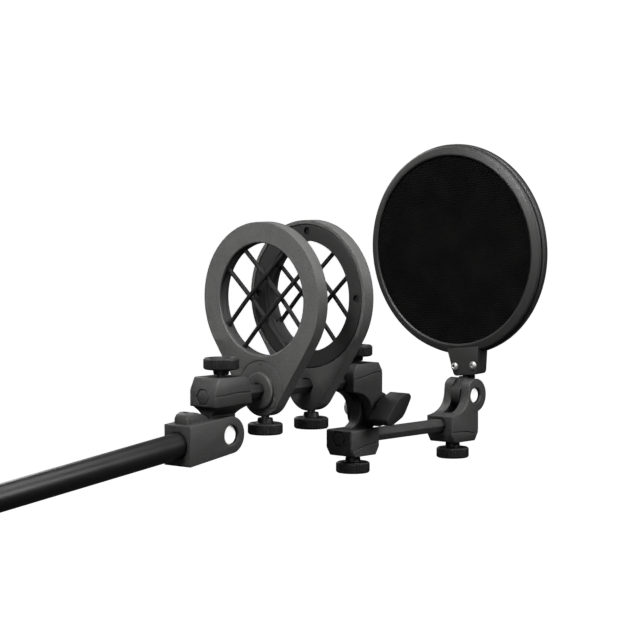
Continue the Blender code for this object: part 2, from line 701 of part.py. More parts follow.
POP_CENTRE = at(0.2198, 0.0078, 0.0258)
PLATE_TOP = 0.0734           # top of the neck plate, below the filter's centre
PLATE_LOW = 0.0942
STEM_SHIFT = 0.0023          # brings the stem over the slot of its fork
NECK_SHIFT = -0.0007         # the neck stands a little off the filter's centre line
STEM_X = 0.0049              # the tongue's upper end stands this far behind the pivot


def pop_frame():
    """Local Z is the filter's axis, away from the microphone; local Y runs up the filter."""
    axis = Matrix.Rotation(POP_YAW, 4, "Z") @ Matrix.Rotation(-POP_PITCH, 4, "Y")
    roll = Matrix.Rotation(-POP_ROLL, 4, "X")
    return Matrix.Translation(POP_CENTRE) @ axis @ roll @ front_frame(Vector())


def neck_outline():
    """Tapered tab that carries the filter's two screws, with its top inside the ring."""
    half_top, half_low, corner = 0.0145, 0.0110, 0.0030
    left, right, low = NECK_SHIFT - half_low, NECK_SHIFT + half_low, -PLATE_LOW
    bottom = arc(left + corner, low + corner, corner, 190, 270, 4)
    bottom += arc(right - corner, low + corner, corner, 270, 350, 4)
    return bottom + [(NECK_SHIFT + half_top, -PLATE_TOP), (NECK_SHIFT - half_top, -PLATE_TOP)]


def pop_screw_places():
    return ((NECK_SHIFT - 0.0084, -0.0872), (NECK_SHIFT + 0.0084, -0.0872))


def make_pop_half(name, low, high, lip_low, lip_high):
    """Half of the round frame with its lip and its share of the neck."""
    frame = pop_frame()
    front = lip_low <= low + WELD
    outer = POP_R if front else POP_REAR_R
    recess = POP_MESH_R + GAP
    soft = 0.0016
    if front:
        profile = [(recess, high), (outer - 0.0012, high), (outer, high - 0.0008), (outer, low + soft),
                   (outer - soft, low), (POP_BORE_R + 0.0008, low), (POP_BORE_R, low + 0.0008),
                   (POP_BORE_R, lip_high), (recess, lip_high)]
    else:
        profile = [(POP_BORE_R, lip_low), (POP_BORE_R, high - 0.0008), (POP_BORE_R + 0.0008, high),
                   (outer - soft, high), (outer, high - soft), (outer, low + 0.0008), (outer - 0.0012, low),
                   (recess, low), (recess, lip_low)]
    half = turned(name, profile, frame, "powder_coat", RING_STEPS + 8, closed=True)
    tab = plate(name + "_tab", [neck_outline()], high - low, frame @ Matrix.Translation((0, 0, (low + high) / 2)))
    bevel(tab, 0.0007)
    join(half, tab)
    return half


def make_pop_filter():
    frame = pop_frame()
    depth = POP_DEPTH
    front = make_pop_half("pop_front_frame", 0.0, POP_HALF, 0.0, 0.0016)
    rear = make_pop_half("pop_rear_frame", POP_HALF + GAP, depth, depth - 0.0016, depth)
    add_pop_tongue(rear, frame)
    for number, (x, y) in enumerate(pop_screw_places(), 1):
        place = frame @ Matrix.Translation((x, y, 0))
        hole = rod("pop_screw_hole_%d" % number, 0.0014, -0.001, 0.0090, place, steps=12)
        cut(front, hole)
        cut(rear, hole)
        profile = [(0, 0.0085), (0.0011, 0.0085), (0.0011, -GAP), (0.0030, -GAP), (0.0028, -0.0014),
                   (0.0018, -0.0021), (0, -0.0021)]
        turned("pop_neck_screw_%d" % number, profile, place, "bare_steel", 16)
    for label, low in (("front", 0.0016 + GAP), ("rear", depth - 0.0016 - GAP - 0.0007)):
        rod("pop_mesh_" + label, POP_MESH_R, low, low + 0.0007, frame, "filter_mesh", RING_STEPS + 8)


def add_pop_tongue(rear, frame):
    """Tongue about the pop filter's pivot, and the stem that leads from it into the neck."""
    ear = arc(0, 0, 0.0112, 150, 395, 16)
    outline = ear + [(STEM_X + 0.0045, 0.0134), (STEM_X - 0.0045, 0.0134)]
    tongue = plate("pop_tongue", [outline], TONGUE_W, side_frame(POP_PIVOT))
    stem_low = 0.0972
    stem_h = stem_low - PLATE_LOW + 0.0050
    stem_half = 0.0027
    stem = box("pop_stem", (0.0074, stem_h, 2 * stem_half),
               frame @ Matrix.Translation((STEM_SHIFT, -stem_low + stem_h / 2, POP_HALF + GAP + stem_half)))
    join(rear, tongue, stem)
    cut(rear, rod("pop_tongue_pin_hole", PIN_R + GAP, -0.02, 0.02, along((0, 1, 0), POP_PIVOT)))


# ---------------------------------------------------------------- assembly

BODIES = {
    "head_tilt": (CLEVIS_PIVOT, None, ("left_head",)),
    "bar_slide": (UPPER_BAR, "head_tilt", ("upper_hex_bar",)),
    "ring_1_slide": (RINGS[0].centre, "bar_slide", ("ring_1_",)),
    "ring_2_slide": (RINGS[1].centre, "bar_slide", ("ring_2_",)),
    "right_head_slide": (UPPER_BAR + Vector((RIGHT_HEAD_X, 0, 0)), "bar_slide", ("right_head",)),
    "arm_tilt": (ARM_PIVOT, "right_head_slide", ("arm_slider",)),
    "lower_bar_slide": (LOWER_BAR, "arm_tilt", ("lower_hex_bar",)),
    "pop_clamp_slide": (LOWER_BAR + Vector((POP_CLAMP_X, 0, 0)), "lower_bar_slide", ("pop_clamp",)),
    "pop_tilt": (POP_PIVOT, "pop_clamp_slide", ("pop_front", "pop_rear", "pop_mesh", "pop_neck")),
    "thumb_left_head_turn": (UPPER_BAR + Vector((HEAD_X, 0, 0)), "head_tilt", ("thumb_left_head",)),
    "thumb_ring_1_turn": (RINGS[0].centre + Vector((RING_THICK / 2, 0, -BAR_DROP)), "ring_1_slide",
                          ("thumb_ring_1",)),
    "thumb_ring_2_turn": (RINGS[1].centre + Vector((RING_THICK / 2, 0, -BAR_DROP)), "ring_2_slide",
                          ("thumb_ring_2",)),
    "thumb_right_head_turn": (UPPER_BAR + Vector((RIGHT_HEAD_X, 0, 0)), "right_head_slide",
                              ("thumb_right_head",)),
    "thumb_slider_turn": (LOWER_BAR + Vector((SLIDER_X, 0, 0)), "arm_tilt", ("thumb_slider",)),
    "thumb_pop_clamp_turn": (LOWER_BAR + Vector((POP_CLAMP_X, 0, 0)), "pop_clamp_slide", ("thumb_pop_clamp",)),
    "wing_turn": (ARM_PIVOT, "right_head_slide", ("wing_",)),
}


def add_joint_empties():
    """One empty on each joint's axis carries the pieces that move with it."""
    empties = {}
    for name, (place, parent, _) in BODIES.items():
        empty = bpy.data.objects.new(name, None)
        empty.empty_display_size = 0.01
        PARTS.objects.link(empty)
        empty.location = place
        if parent:
            empty.parent = empties[parent]
            empty.location = place - BODIES[parent][0]
        empties[name] = empty
    bpy.context.view_layer.update()
    for piece in [obj for obj in PARTS.objects if obj.type != "EMPTY"]:
        for name, (_, _, prefixes) in BODIES.items():
            if piece.name.startswith(prefixes):
                piece.parent = empties[name]
                piece.matrix_parent_inverse = empties[name].matrix_world.inverted()


def shade_parts():
    """Round pieces are smooth, with creases kept sharp."""
    for piece in PARTS.objects:
        if piece.type == "MESH":
            piece.data.shade_smooth()
            piece.data.set_sharp_from_angle(angle=radians(35))


make_boom_tube()
make_end_plug()
make_clevis()
make_pin("clevis_pin", CLEVIS_PIVOT, PIN_HEAD_R)
make_left_head()
make_bars()
make_rings()
right_head = make_fork_block("right_head", UPPER_BAR + Vector((RIGHT_HEAD_X, 0, 0)), -1)
cut(right_head, rod("right_head_bolt_hole", PIN_R + GAP, -0.02, 0.02, along((0, 1, 0), ARM_PIVOT)))
make_slider()
make_wing_lever()
pop_clamp = make_fork_block("pop_clamp", LOWER_BAR + Vector((POP_CLAMP_X, 0, 0)), 1)
cut_pin_holes(pop_clamp, POP_PIVOT, POP_PIN_HEAD_R)
make_pin("pop_clamp_pin", POP_PIVOT, POP_PIN_HEAD_R)
make_pop_filter()
make_thumb_screws()
add_joint_empties()
shade_parts()
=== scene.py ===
"""Visual model of the boom-end shock mount with its pop filter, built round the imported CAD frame."""
import json
from math import acos, atan, cos, degrees, pi, radians, sin, sqrt, tan

import bmesh
import bpy
from mathutils import Matrix, Vector

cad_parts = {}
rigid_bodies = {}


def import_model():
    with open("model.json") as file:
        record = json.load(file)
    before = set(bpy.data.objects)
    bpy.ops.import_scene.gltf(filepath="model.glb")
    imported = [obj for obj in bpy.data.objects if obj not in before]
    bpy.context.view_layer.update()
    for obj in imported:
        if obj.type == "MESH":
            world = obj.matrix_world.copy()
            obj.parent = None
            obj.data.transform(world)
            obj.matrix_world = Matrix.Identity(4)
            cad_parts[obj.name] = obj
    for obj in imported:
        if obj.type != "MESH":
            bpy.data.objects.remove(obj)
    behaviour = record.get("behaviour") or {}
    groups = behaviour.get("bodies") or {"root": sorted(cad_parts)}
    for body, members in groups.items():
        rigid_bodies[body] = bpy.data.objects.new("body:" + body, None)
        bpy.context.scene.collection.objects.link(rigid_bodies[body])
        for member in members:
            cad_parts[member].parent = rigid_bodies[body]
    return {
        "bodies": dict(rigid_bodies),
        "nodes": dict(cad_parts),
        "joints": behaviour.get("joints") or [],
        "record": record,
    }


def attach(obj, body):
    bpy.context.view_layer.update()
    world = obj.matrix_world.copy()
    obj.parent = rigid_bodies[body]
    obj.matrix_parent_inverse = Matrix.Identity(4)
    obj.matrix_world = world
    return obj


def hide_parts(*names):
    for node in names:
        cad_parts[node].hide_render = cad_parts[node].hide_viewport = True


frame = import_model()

shift = Matrix.Translation

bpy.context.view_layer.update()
BODY_OF = {node: body for body, nodes in frame["record"]["behaviour"]["bodies"].items() for node in nodes}

GAP = 0.0003  # clearance between neighbouring pieces
WELD = 0.00001  # merge distance of turned shapes

# Main layout, measured from the centre of ring one's front face
RING_CENTRE = Vector((0.262527, 0.0, 0.114151))  # that centre, from the boom end
BAR_DROP = 0.0627  # upper hex bar below the rings' axis
LOWER_BAR_DROP = 0.1032  # lower hex bar below the rings' axis
RING_SPACING = 0.0476  # ring one's front face to ring two's front face
BOOM_PITCH = radians(6.6)  # the boom tube rises towards the clevis

# Rings
RING_R = 0.053
RING_BASE_R = 0.0176
RING_THICK = 0.0094
BORE_R = 0.0386  # the opening that the cords cross
COVER_R = 0.05
COVER_THICK = 0.0024
COVER_SCREW_R = 0.0452  # pitch radius of the cover screws
CARRIER_WALL_R = 0.0416  # outside of the cord carrier's sleeve
CARRIER_FLANGE_R = 0.0432
CARRIER_FLANGE = 0.0018
HUB_R = 0.0127
HUB_RISE = 0.0026
CORD_R = 0.00155
CORD_OFFSET = 0.0102  # a cord's distance from the rings' axis
CORD_BOW = 0.0016  # sideways bend where one cord passes another
CORD_HOLE_R = 0.0018
SPARE_HOLE_R = 0.0012  # second row of holes in the carrier
COUNTERBORE_R = 0.0027
COUNTERBORE = 0.0021  # depth of a cover screw's counterbore
SCREW_BORE_R = 0.0013

# Hexagonal bars and the clamp blocks on them
HEX_FLATS = 0.0092
HEX_BORE_FLATS = 0.0104
BLOCK_W = 0.024
BLOCK_HALF_L = 0.0157
BLOCK_DEEP = 0.0128  # bar centre to the face on the screw's side
BLOCK_SHALLOW = 0.0068  # bar centre to the face on the pivot's side
TONGUE_W = 0.008
SLOT_W = 0.0086
EAR_R = 0.0125
TONGUE_R = 0.012
PIVOT_X = 0.0124  # fork pivot from its block's centre, along the bar
PIVOT_RISE = 0.0209  # fork pivot from its bar's centre

# Thumb screws
KNOB_R = 0.0121
KNOB_H = 0.0078
COLLAR_R = 0.0056
COLLAR_H = 0.0034
KNOB_STAND_OFF = 0.0013
SHANK_R = 0.0028

# Boom
TUBE_R = 0.0088
TUBE_WALL = 0.0015
TUBE_END = 0.218  # pivot to the tube's free end, along the tube
TUBE_SEAT = 0.019  # pivot to the tube's seated end
PLUG_FLANGE = 0.004
CLEVIS_L = 0.04
CLEVIS_H = 0.027
GRUB_X = -0.0275  # grub screw from the clevis pivot, along the tube
PIN_HEAD_R = 0.0067
PIN_R = 0.004
PIN_RECESS = 0.0042  # depth of the recess that each head of a pin sits in
PIN_HEAD_H = 0.0018

# Pop filter
POP_R = 0.0777
POP_BORE_R = 0.0705
POP_REAR_R = 0.0789  # the rear half stands out round the front one
POP_HALF = 0.0057  # thickness of the front half of the round frame
POP_DEPTH = 0.0124  # thickness of both halves together
LIP = 0.0016  # thickness of the lip over each filter mesh
POP_YAW = radians(2.3)
POP_PITCH = radians(1.7)
POP_ROLL = radians(6.1)
POP_PIN_HEAD_R = 0.0059

ROUND = 64  # segments of small round pieces
RING_STEPS = 192  # segments of the rings
SCREW_TURN = radians(5.3)  # keeps a screw hole's facets off the lines of the ring's facets

MESH_CELL = 0.0023  # pitch of the filter net's cells
MESH_R = 0.0732  # outside of the net
MESH_TOP = 0.0007  # height of the net's ridges
MESH_SUNK = 0.00035  # height of its cells' floors
MESH_FLOOR = 0.5  # size of a cell's floor against its rim
KNURLS = 56  # ridges round a knob

FILLET = 0.00035  # rounding of turned edges
FILLET_STEPS = 5
BEVEL_ANGLE = radians(35)  # edges sharper than this are rounded
SHARP_ANGLE = radians(32)  # and those sharper than this are shaded sharp
FILLETS = {"pop_front_frame": 0.0014, "pop_rear_frame": 0.0014}

SOURCES = {}
TOOLS = []


def at(x, y, z):
    """World place of a point given from the centre of ring one's front face."""
    return RING_CENTRE + Vector((x, y, z))


def side_frame(origin):
    """Outline x, y become world X, Z; the thickness lies along Y."""
    return shift(origin) @ Matrix.Rotation(pi / 2, 4, "X")


def front_frame(origin):
    """Outline x, y become world Y, Z; the thickness lies along X."""
    turn = Matrix(((0, 0, 1, 0), (1, 0, 0, 0), (0, 1, 0, 0), (0, 0, 0, 1)))
    return shift(origin) @ turn


def along(axis, origin, turn=0.0):
    """A frame at origin whose local Z points along a world direction, turned about it."""
    aim = Vector(axis).to_track_quat("Z", "Y").to_matrix().to_4x4()
    return shift(origin) @ aim @ Matrix.Rotation(turn, 4, "Z")


def linked(name, data):
    obj = bpy.data.objects.new(name, data)
    bpy.context.scene.collection.objects.link(obj)
    return obj


def new_object(name, data, place, finish=None):
    """A piece of the model when it has a finish, otherwise a cutter."""
    obj = linked("source_" + name if finish else name, data)
    obj.matrix_world = place
    if finish:
        SOURCES[name] = (obj, finish)
    else:
        TOOLS.append(obj)
    return obj


def smoothed(points, steps=6):
    """A curve through the points, with this many steps between each two."""
    padded = [points[0]] + list(points) + [points[-1]]
    fine = []
    for a, b, c, d in zip(padded, padded[1:], padded[2:], padded[3:]):
        for i in range(steps):
            t = i / steps
            fine.append(tuple(0.5 * (2 * q + (r - p) * t + (2 * p - 5 * q + 4 * r - s) * t * t
                                     + (3 * q - p - 3 * r + s) * t ** 3) for p, q, r, s in zip(a, b, c, d)))
    return fine + [tuple(points[-1])]


def filleted(profile, radius, closed):
    """The profile with its corners rounded, except those on the axis."""
    count = len(profile)
    rounded = []
    for i, corner in enumerate(profile):
        if (not closed and i in (0, count - 1)) or corner[0] < WELD:
            rounded.append(corner)
            continue
        here = Vector(corner)
        before = Vector(profile[i - 1]) - here
        after = Vector(profile[(i + 1) % count]) - here
        reach = min(radius, before.length * 0.45, after.length * 0.45)
        first = here + before.normalized() * reach
        last = here + after.normalized() * reach
        for k in range(FILLET_STEPS + 1):
            t = k / FILLET_STEPS
            rounded.append(tuple(first * (1 - t) ** 2 + here * 2 * t * (1 - t) + last * t * t))
    return rounded


def arc(centre_x, centre_y, radius, start, end, steps):
    """Points of an arc from start to end, in degrees."""
    angles = [radians(start + (end - start) * i / steps) for i in range(steps + 1)]
    return [(centre_x + radius * cos(a), centre_y + radius * sin(a)) for a in angles]


def plate(name, outline, thickness, frame, finish=None):
    """A flat piece: a closed outline, extruded evenly to both sides of the frame's plane."""
    curve = bpy.data.curves.new(name, "CURVE")
    curve.dimensions = "2D"
    curve.fill_mode = "BOTH"
    curve.extrude = thickness / 2
    spline = curve.splines.new("POLY")
    spline.points.add(len(outline) - 1)
    spline.use_cyclic_u = True
    for point, (x, y) in zip(spline.points, outline):
        point.co = (x, y, 0.0, 1.0)
    source = linked(name, curve)
    bpy.context.view_layer.update()
    evaluated = source.evaluated_get(bpy.context.evaluated_depsgraph_get())
    mesh = bpy.data.meshes.new_from_object(evaluated)
    bpy.data.objects.remove(source, do_unlink=True)
    weld_and_orient(mesh)
    mesh.name = name
    return new_object(name, mesh, frame, finish)


def mesh_from(name, shape):
    """A mesh made of a bmesh, which is freed."""
    mesh = bpy.data.meshes.new(name)
    shape.to_mesh(mesh)
    shape.free()
    return mesh


def weld_and_orient(mesh):
    """Merges what touches and turns every face outwards."""
    shape = bmesh.new()
    shape.from_mesh(mesh)
    bmesh.ops.remove_doubles(shape, verts=shape.verts, dist=WELD)
    bmesh.ops.recalc_face_normals(shape, faces=shape.faces)
    if shape.calc_volume(signed=True) < 0:
        bmesh.ops.reverse_faces(shape, faces=shape.faces)
    shape.to_mesh(mesh)
    shape.free()


def turned(name, profile, frame, finish=None, steps=ROUND, closed=False):
    """A turned piece: (radius, height) points that run down the outer side, about local Z."""
    mesh = bpy.data.meshes.new(name)
    if finish:
        profile = filleted(profile, FILLETS.get(name, FILLET), closed)
    count = len(profile)
    edges = [(i, i + 1) for i in range(count - 1)]
    if closed:
        edges.append((count - 1, 0))
    mesh.from_pydata([(r, 0.0, h) for r, h in profile], edges, [])
    obj = new_object(name, mesh, frame, finish)
    screw = obj.modifiers.new("turn", "SCREW")
    screw.steps = screw.render_steps = steps
    screw.use_merge_vertices = True
    screw.merge_threshold = WELD
    return obj


def rod(name, radius, low, high, frame, finish=None, steps=ROUND):
    """A plain cylinder from low to high along local Z."""
    return turned(name, [(0, high), (radius, high), (radius, low), (0, low)], frame, finish, steps)


def box(name, size, frame):
    shape = bmesh.new()
    bmesh.ops.create_cube(shape, size=1.0)
    bmesh.ops.scale(shape, vec=size, verts=shape.verts)
    return new_object(name, mesh_from(name, shape), frame)


def hexagon(name, flats, low, high, origin, finish=None):
    """A hexagonal prism along X with flats above and below, from low to high past the origin."""
    shape = bmesh.new()
    corner_r = flats / sqrt(3)
    bmesh.ops.create_cone(shape, cap_ends=True, segments=6, radius1=corner_r, radius2=corner_r,
                          depth=high - low)
    bmesh.ops.translate(shape, verts=shape.verts, vec=(0, 0, (low + high) / 2))
    bmesh.ops.rotate(shape, verts=shape.verts, matrix=Matrix.Rotation(pi / 2, 3, "Y"))
    return new_object(name, mesh_from(name, shape), shift(origin), finish)


def loft(name, sections, frame):
    """A solid through rectangular sections (half length, half width, centre x, height)."""
    shape = bmesh.new()
    loops = []
    for half_l, half_w, centre, height in smoothed(sections):
        corners = ((-1, -1), (1, -1), (1, 1), (-1, 1))
        loops.append([shape.verts.new((centre + sx * half_l, sy * half_w, height)) for sx, sy in corners])
    for lower, upper in zip(loops, loops[1:]):
        for i in range(4):
            shape.faces.new((lower[i], lower[i - 1], upper[i - 1], upper[i]))
    shape.faces.new(loops[0])
    shape.faces.new(loops[-1])
    bmesh.ops.recalc_face_normals(shape, faces=shape.faces)
    return new_object(name, mesh_from(name, shape), frame)


def bevel(obj, width, segments=3):
    modifier = obj.modifiers.new("rounded_edges", "BEVEL")
    modifier.width = width
    modifier.segments = segments
    modifier.limit_method = "ANGLE"
    modifier.angle_limit = BEVEL_ANGLE


def combine(operation, obj, tools):
    for tool in tools:
        modifier = obj.modifiers.new(tool.name, "BOOLEAN")
        modifier.operation = operation
        modifier.solver = "EXACT"
        modifier.object = tool


def cut(obj, *tools):
    combine("DIFFERENCE", obj, tools)


def join(obj, *tools):
    combine("UNION", obj, tools)


# ---- boom tube and clevis

CLEVIS_PIVOT = at(-0.0417, 0, -0.0886)
UPPER_BAR = at(0, 0, -BAR_DROP)
LOWER_BAR = at(0, 0, -LOWER_BAR_DROP)
HEAD_X = -0.0391  # centre of the left head along the bar
HEAD_HALF_L = 0.0182
RIGHT_HEAD_X = 0.09995
SLIDER_X = 0.09715
POP_CLAMP_X = 0.2117
LEFT_HEAD = UPPER_BAR + Vector((HEAD_X, 0, 0))
RIGHT_HEAD = UPPER_BAR + Vector((RIGHT_HEAD_X, 0, 0))
SLIDER = LOWER_BAR + Vector((SLIDER_X, 0, 0))
POP_CLAMP = LOWER_BAR + Vector((POP_CLAMP_X, 0, 0))
ARM_PIVOT = UPPER_BAR + Vector((RIGHT_HEAD_X + PIVOT_X, 0, -PIVOT_RISE))
POP_PIVOT = LOWER_BAR + Vector((POP_CLAMP_X + PIVOT_X, 0, PIVOT_RISE))


def boom_frame():
    """Local X runs up the boom tube from the clevis pivot, local Z stands square to it."""
    return shift(CLEVIS_PIVOT) @ Matrix.Rotation(-BOOM_PITCH, 4, "Y")


def boom_axis_frame():
    """Local Z runs up the boom tube."""
    return boom_frame() @ Matrix.Rotation(pi / 2, 4, "Y")


def make_boom():
    """The tube, and the plug in its free end."""
    frame = boom_axis_frame()
    inner_r = TUBE_R - TUBE_WALL
    tube = [(inner_r, -TUBE_SEAT), (TUBE_R, -TUBE_SEAT), (TUBE_R, -TUBE_END), (inner_r, -TUBE_END)]
    turned("boom_tube", tube, frame, "satin_tube", 96, closed=True)
    spigot_r = inner_r - GAP
    flange_top = -TUBE_END - GAP
    spigot_top = -TUBE_END + 0.016
    low = flange_top - PLUG_FLANGE
    plug = [(0, spigot_top), (spigot_r - 0.001, spigot_top), (spigot_r, spigot_top - 0.001),
            (spigot_r, flange_top), (TUBE_R, flange_top), (TUBE_R, low + 0.0008), (TUBE_R - 0.0008, low),
            (0, low)]
    turned("boom_end_plug", plug, frame, "nylon_black", 96)


def ear_outline():
    """Side view of the clevis: a round end about the pivot, which widens to its upright end."""
    half = CLEVIS_H / 2
    lean = degrees(atan((half - EAR_R) / CLEVIS_L))
    upright = half * tan(BOOM_PITCH)
    end = [(upright - CLEVIS_L, half), (-upright - CLEVIS_L, -half)]
    return arc(0, 0, EAR_R, -90 - lean, 90 + lean, 40) + end


def make_clevis():
    """Two ears about the pivot, the hump over the grub screw, that screw and the pin."""
    side = boom_frame() @ Matrix.Rotation(pi / 2, 4, "X")
    clevis = plate("boom_clevis", ear_outline(), BLOCK_W, side, "cast_block")
    bevel(clevis, 0.0008)
    outline = [(-0.013, 0.006), (-0.013, 0.0125), (-0.0165, 0.0155), (-0.0205, 0.018),
               (-0.0255, 0.02), (-0.029, 0.0205), (-0.0325, 0.0195), (-0.0345, 0.017), (-0.035, 0.0125),
               (-0.035, 0.006)]
    hump = plate("hump", outline, 0.013, side)
    bevel(hump, 0.001, 2)
    join(clevis, hump)
    grub = boom_frame() @ shift((GRUB_X, 0, 0))
    slot = box("clevis_slot", (0.03, SLOT_W, 0.04), boom_frame() @ shift((0.0015, 0, 0)))
    bore = rod("clevis_bore", TUBE_R + GAP, -CLEVIS_L - 0.005, -TUBE_SEAT + GAP, boom_axis_frame(), steps=96)
    cut(clevis, slot, bore, rod("hole", 0.0028, 0.005, 0.026, grub))
    low, high, socket = TUBE_R + GAP, 0.017, 0.0014
    profile = [(0, high - socket), (0.0013, high - socket), (0.0013, high), (0.0025, high),
               (0.0025, low + 0.0006), (0.0019, low), (0, low)]
    turned("clevis_grub_screw", profile, grub, "bare_steel", 48)
    fit_pin("clevis_pin", clevis, CLEVIS_PIVOT, PIN_HEAD_R)


def fit_pin(name, fork, pivot, head_r):
    """A pivot pin across both ears, with a low head in a round recess on each side."""
    across = along((0, -1, 0), pivot)
    half = BLOCK_W / 2
    cut(fork, rod("pin_hole", PIN_R + GAP, -0.03, 0.03, across),
        rod("recess", head_r + GAP, half - PIN_RECESS, half + 0.005, across),
        rod("recess", head_r + GAP, -half - 0.005, -half + PIN_RECESS, across))
    seat = half - PIN_RECESS + GAP
    top = seat + PIN_HEAD_H
    near = [(0, top), (head_r - 0.0008, top), (head_r, top - 0.0006), (head_r, seat), (PIN_R, seat)]
    turned(name, near + [(r, -h) for r, h in reversed(near)], across, "bare_steel")


# ---- clamp blocks

def make_left_head():
    """Block on the upper bar over a waisted neck and a tongue that swings in the clevis."""
    half = HEAD_HALF_L
    outline = [(-half, -BLOCK_SHALLOW), (half, -BLOCK_SHALLOW + 0.001), (half - 0.0014, 0.0069),
               (half - 0.0055, BLOCK_DEEP), (-half + 0.0042, BLOCK_DEEP), (-half, 0.0043)]
    head = plate("left_head", outline, BLOCK_W, side_frame(LEFT_HEAD), "cast_block")
    bevel(head, 0.0008)
    pivot = CLEVIS_PIVOT - LEFT_HEAD
    sections = [(0.0172, 0.0108, 0, -0.0058), (0.0153, 0.0094, -0.0006, -0.0078),
                (0.0132, 0.0068, -0.0016, -0.01), (0.012, 0.004, pivot.x, -0.0128)]
    neck = loft("neck", sections, shift(LEFT_HEAD))
    tongue = arc(0, 0, TONGUE_R, 180, 360, 40) + [(TONGUE_R, 0.015), (-TONGUE_R, 0.015)]
    join(head, neck, plate("tongue", tongue, TONGUE_W, side_frame(CLEVIS_PIVOT)))
    cut(head, hex_bore(LEFT_HEAD, half), screw_hole(LEFT_HEAD, 1), pin_bore(CLEVIS_PIVOT))


def pin_bore(pivot):
    return rod("pin_bore", PIN_R + GAP, -0.02, 0.02, along((0, 1, 0), pivot))


def hex_bore(origin, half):
    return hexagon("hex_bore", HEX_BORE_FLATS, -half - 0.01, half + 0.01, origin)


def screw_hole(origin, side):
    """Clearance hole for a thumb screw, above the bar (side 1) or below it (side -1)."""
    return rod("screw_hole", SHANK_R + GAP, 0.0, 0.03, along((0, 0, side), origin))


def fork_outline():
    """Side view of a fork block: the block round the bar, and ears that sweep up to the pivot."""
    half = BLOCK_HALF_L
    base = [(-half, -0.0065), (-half + 0.004, -BLOCK_DEEP), (half - 0.004, -BLOCK_DEEP), (half, -0.0065)]
    swept = [(0.008, 0.0321), (0.0056, 0.0296), (0.0047, 0.0255), (0.0042, 0.0205), (0.0024, 0.0155),
             (-0.0008, 0.0118), (-0.005, 0.0092), (-0.01, 0.0076), (-half, BLOCK_SHALLOW)]
    return base + arc(PIVOT_X, PIVOT_RISE, EAR_R, -75, 90, 32) + smoothed(swept)


def make_fork_block(name, origin, side):
    """Clamp block with a fork: ears above the bar (side 1), or the same part upside down (-1)."""
    flip = Matrix.Rotation(0 if side > 0 else pi, 4, "X")
    block = plate(name, fork_outline(), BLOCK_W, side_frame(origin) @ flip, "cast_block")
    bevel(block, 0.0008)
    height = 0.04
    middle = BLOCK_SHALLOW + 0.0012 + height / 2
    slot = box("slot", (0.08, SLOT_W, height), shift(origin + Vector((0, 0, side * middle))))
    cut(block, slot, hex_bore(origin, BLOCK_HALF_L), screw_hole(origin, -side))
    return block


def make_slider():
    """Clamp block on the lower bar, with the tongue that swings in the right head's fork."""
    half = BLOCK_HALF_L
    top = BLOCK_SHALLOW - 0.0006
    outline = [(-half, -0.0068), (-half + 0.0038, -BLOCK_DEEP), (half - 0.0038, -BLOCK_DEEP),
               (half, -0.0068), (half, top), (-half, top)]
    block = plate("arm_slider", outline, BLOCK_W, side_frame(SLIDER), "cast_block")
    bevel(block, 0.0014, 4)
    pivot = ARM_PIVOT - SLIDER
    swept = [(pivot.x - TONGUE_R - 0.0004, 0.0155), (0.0006, 0.0112), (-0.0032, 0.0082), (-0.009, 0.0056)]
    ear = arc(pivot.x, pivot.z, TONGUE_R, -60, 180, 48) + smoothed(swept)
    outline = ear + [(-0.009, 0.003), (half - 0.001, 0.003)]
    tongue = plate("tongue", outline, TONGUE_W, side_frame(SLIDER))
    sections = [(0.011, 0.0085, 0.003, 0.004), (0.0104, 0.0064, 0.003, 0.0064),
                (0.0098, 0.004, 0.003, 0.0071)]
    join(block, loft("root", sections, shift(SLIDER)), tongue)
    cut(block, hex_bore(SLIDER, half), screw_hole(SLIDER, -1), pin_bore(ARM_PIVOT))


def make_bars():
    """Both bars start flush in one block's face and end flush in another's."""
    for name, bar, low, high in (
            ("upper_hex_bar", UPPER_BAR, HEAD_X - HEAD_HALF_L, RIGHT_HEAD_X + BLOCK_HALF_L),
            ("lower_hex_bar", LOWER_BAR, SLIDER_X - BLOCK_HALF_L, POP_CLAMP_X + BLOCK_HALF_L)):
        bevel(hexagon(name, HEX_FLATS, low, high, bar, "cast_block"), 0.0004)


# ---- thumb screws and the wing lever

def make_thumb_screw(name, seat, side, bar_z):
    """Knob and shank; seat is the block face's centre, side 1 stands up and -1 hangs down."""
    frame = along((0, 0, side), seat)
    low = KNOB_STAND_OFF
    collar = low + COLLAR_H
    top = collar + KNOB_H
    shank_top = top - 0.003
    hole_r = SHANK_R + GAP
    knob = [(0, top - 0.0022), (0.0066, top - 0.0022), (0.0086, top), (KNOB_R - 0.001, top),
            (KNOB_R, top - 0.001), (KNOB_R, collar + 0.001), (KNOB_R - 0.0012, collar),
            (COLLAR_R, collar), (COLLAR_R - 0.0004, low), (hole_r, low), (hole_r, shank_top + GAP),
            (0, shank_top + GAP)]
    turned(name + "_knob", knob, frame, "knob_black", 4 * KNURLS)
    reach = abs(seat.z - bar_z) - HEX_FLATS / 2 - GAP
    shank = [(0, shank_top), (SHANK_R, shank_top), (SHANK_R, -reach + 0.0008), (SHANK_R - 0.0008, -reach),
             (0, -reach)]
    turned(name + "_shank", shank, frame, "dark_steel", 48)


def make_thumb_screws():
    for name, bar, x, rise, side in (
            ("left_head", UPPER_BAR, HEAD_X, BLOCK_DEEP, 1),
            ("ring_1", UPPER_BAR, RING_THICK / 2, -RING_BASE_R, -1),
            ("ring_2", UPPER_BAR, RING_SPACING + RING_THICK / 2, -RING_BASE_R, -1),
            ("right_head", UPPER_BAR, RIGHT_HEAD_X, BLOCK_DEEP, 1),
            ("slider", LOWER_BAR, SLIDER_X, -BLOCK_DEEP, -1),
            ("pop_clamp", LOWER_BAR, POP_CLAMP_X, -BLOCK_DEEP, -1)):
        make_thumb_screw("thumb_" + name, bar + Vector((x, 0, rise)), side, bar.z)


